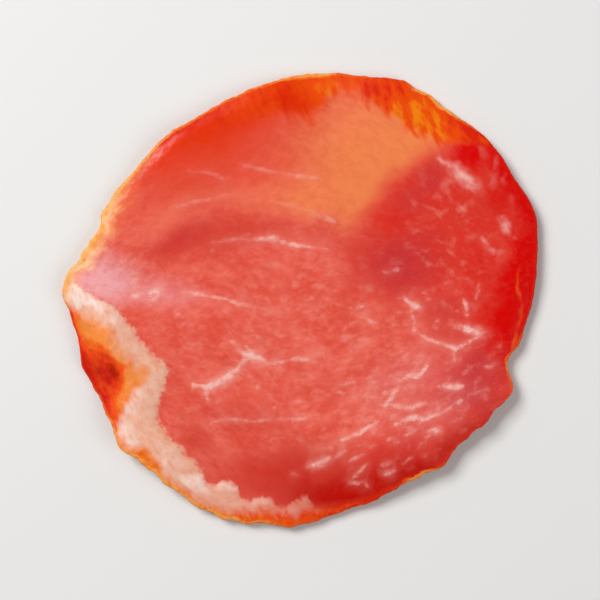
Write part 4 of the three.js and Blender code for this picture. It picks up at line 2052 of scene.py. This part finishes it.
@dataclass(frozen=True)
class Relief:
    """The relief that is finer than the mesh.

    Attributes:
        fibres: The pattern of the fibres.
        pores: The pattern of the pores.
        heights: How high fibres and pores are beside each other.
        strength: How strongly the relief shows.
        depth: How deep it is, in metres.
        smoother: How much less of it the named parts of the surface have.
    """

    fibres: Clouds = Clouds(0.6, 0.55, rough=0.6)
    pores: Clouds = Clouds(0.5, 0.9, 4.0, 0.6)
    heights: Point = (0.5, 0.8)
    strength: float = 0.4
    depth: float = 0.00012
    smoother: float = 0.6

    def normal(self, shader: Shader, fat: Value) -> bpy.types.NodeSocket:
        """Adds the relief, which is weaker on fat, on the peach lean and under the rosy painted sheen.

        Args:
            shader: The material's shader.
            fat: Where the fat is.

        Returns:
            The surface's normal.
        """
        height = self.heights[0] * shader.clouds(self.fibres) + self.heights[1] * shader.clouds(self.pores)
        rough = 1 - self.smoother * fat
        for name in ("peach", "rosy"):
            rough = rough - self.smoother * shader.number(name)
        sockets = {"Strength": self.strength, "Distance": self.depth, "Height": height * rough}
        return shader.node("ShaderNodeBump", {}, sockets).outputs[0]


@dataclass(frozen=True)
class CuredMeat:
    """The finish of the moist cured meat, its fat and its spice-stained rim.

    Attributes:
        lean: The lean's colour.
        veins: The veins over it.
        fat: The band of fat.
        spice: The spice stain.
        rim: The crust, the line along the rim and the wall.
        relief: The fine relief.
        wet: The pattern of how wet the surface is.
        roughness: How rough it is at least.
        rougher: How much rougher fat, spice and the driest parts are.
        gloss: How strongly the wet film shines.
        film: Where in its pattern the film begins and where it is whole.
        duller: How much less it shines on fat, on spice and on the crimson lean.
    """

    lean: LeanPaint
    veins: VeinPaint = VeinPaint()
    fat: FatPaint = FatPaint()
    spice: SpicePaint = SpicePaint()
    rim: RimPaint = RimPaint()
    relief: Relief = Relief()
    wet: Clouds = Clouds(5.0)
    roughness: float = 0.22
    rougher: tuple[float, float, float] = (0.12, 0.08, 0.14)
    gloss: float = 0.34
    film: Point = (0.25, 0.75)
    duller: tuple[float, float, float] = (0.5, 0.9, 0.8)

    def material(self) -> bpy.types.Material:
        """Joins the layers.

        Returns:
            The meat's material.
        """
        shader = Shader("cured_meat")
        fat = self.fat.mask(shader)
        colour = self.veins.paint(shader, self.lean.paint(shader))
        colour = shader.mix(colour, self.fat.paint(shader), fat)
        colour, spice = self.spice.paint(shader, colour, fat)
        wet = shader.clouds(self.wet)
        roughness: Number = self.roughness
        for part, more in zip((fat, spice, wet), self.rougher):
            roughness = roughness + more * part
        gloss = self.gloss * wet.rise(*self.film)
        for part, less in zip((fat, spice, shader.number("crimson")), self.duller):
            gloss = gloss * (1 - less * part)
        return shader.finish(
            {
                "Base Color": self.rim.paint(shader, colour),
                "Roughness": roughness,
                "IOR": 1.38,
                "Specular IOR Level": 0.14,
                "Subsurface Weight": 0.25,
                "Subsurface Radius": (1.0, 0.3, 0.18),
                "Subsurface Scale": 0.0014,
                "Coat Weight": gloss,
                "Coat Roughness": 0.12,
                "Coat IOR": 1.36,
                "Normal": self.relief.normal(shader, fat),
            }
        )


@dataclass(frozen=True)
class FloorPaint:
    """The plain matt finish of the floor.

    Attributes:
        colour: Its colour.
        roughness: How rough it is.
    """

    colour: Pigment = pigment(232, 231, 229)
    roughness: float = 0.7

    def material(self) -> bpy.types.Material:
        """Returns the floor's material."""
        return Shader("floor_paint").finish({"Base Color": self.colour, "Roughness": self.roughness})


@dataclass(frozen=True)
class Lamp:
    """A soft square lamp that points at the slice.

    Attributes:
        name: What it is called.
        at: Where it hangs, in metres.
        size: How wide it is, in metres.
        power: How bright it is, in watts.
    """

    name: str
    at: tuple[float, float, float]
    size: float
    power: float

    def hang(self) -> None:
        """Hangs the lamp."""
        light = bpy.data.lights.new(self.name, "AREA")
        light.size = self.size
        light.energy = self.power
        light.color = WHITE
        lamp = put(self.name, light)
        lamp.location = self.at
        lamp.rotation_euler = (-Vector(self.at)).to_track_quat("-Z", "Y").to_euler()


@dataclass(frozen=True)
class Studio:
    """The pale floor, the soft light and the camera that looks straight down.

    Attributes:
        floor_radius: How far the floor reaches, in metres.
        floor_sides: How many sides it has.
        floor_gap: How far it lies under the slice's flat underside, in metres, so that the two don't meet.
        lamps: The lamps.
        air: How bright the light from all round is.
        lens: The camera's lens, in mm.
        sight: How far the camera sees, in metres.
        fill: The share of the picture's width that the slice takes.
    """

    floor_radius: float = 3.0
    floor_sides: int = 96
    floor_gap: float = 0.00005
    lamps: tuple[Lamp, ...] = (
        Lamp("key", (-0.36, 0.30, 0.52), 0.30, 4.2),
        Lamp("fill", (0.50, -0.26, 0.48), 0.5, 1.6),
    )
    air: float = 0.22
    lens: float = 100.0
    sight: float = 20.0
    fill: float = 0.8

    def build(self, low: Vector, high: Vector) -> None:
        """Sets up the studio round the slice.

        Args:
            low: The lowest corner of the slice's box.
            high: The highest corner.
        """
        self.lay_floor()
        for lamp in self.lamps:
            lamp.hang()
        self.light_air()
        self.aim_camera(low, high)

    def lay_floor(self) -> None:
        """Lays the floor."""
        mesh = bpy.data.meshes.new("floor")
        turns = [2 * math.pi * side / self.floor_sides for side in range(self.floor_sides)]
        x, y = ([self.floor_radius * part(turn) for turn in turns] for part in (math.cos, math.sin))
        rim = [(*place, -self.floor_gap) for place in zip(x, y)]
        mesh.from_pydata(rim, [], [tuple(range(self.floor_sides))])
        mesh.materials.append(FloorPaint().material())
        floor = put("floor", mesh)

    def light_air(self) -> None:
        """Gives the even light from all round."""
        world = bpy.data.worlds.new("studio_air")
        world.use_nodes = True
        background = world.node_tree.nodes["Background"]
        background.inputs["Color"].default_value = (*WHITE, 1.0)
        background.inputs["Strength"].default_value = self.air
        bpy.context.scene.world = world

    def aim_camera(self, low: Vector, high: Vector) -> None:
        """Hangs the camera over the slice's middle, with the picture's top toward +Y.

        Args:
            low: The lowest corner of the slice's box.
            high: The highest corner.
        """
        camera = bpy.data.cameras.new("camera")
        camera.lens = self.lens
        camera.clip_end = self.sight
        width = max(high.x - low.x, high.y - low.y) / self.fill
        distance = width * camera.lens / camera.sensor_width
        middle = (low + high) / 2
        view = put("camera", camera)
        view.location = (middle.x, middle.y, high.z + distance)
        bpy.context.scene.camera = view


def set_picture() -> None:
    """Keeps the picture's colours as they are, with no film look."""
    bpy.context.scene.view_settings.view_transform = "Standard"
    bpy.context.scene.view_settings.look = "None"


def main() -> None:
    """Builds the slice and the studio."""
    logging.basicConfig(level=logging.INFO, format="%(name)s: %(message)s")
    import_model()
    low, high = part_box(NODE)
    Studio().build(low, high)
    set_picture()
    shape = SliceMesh()
    piece = shape.build((low + high) / 2)
    piece.data.materials.append(CuredMeat(LeanPaint(shape.meat.tones)).material())
    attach(piece, BODY)
    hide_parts(NODE)
    log.info("%s: %d triangles, rides on %s", piece.name, len(piece.data.polygons), BODY)


if __name__ == "__main__":
    main()
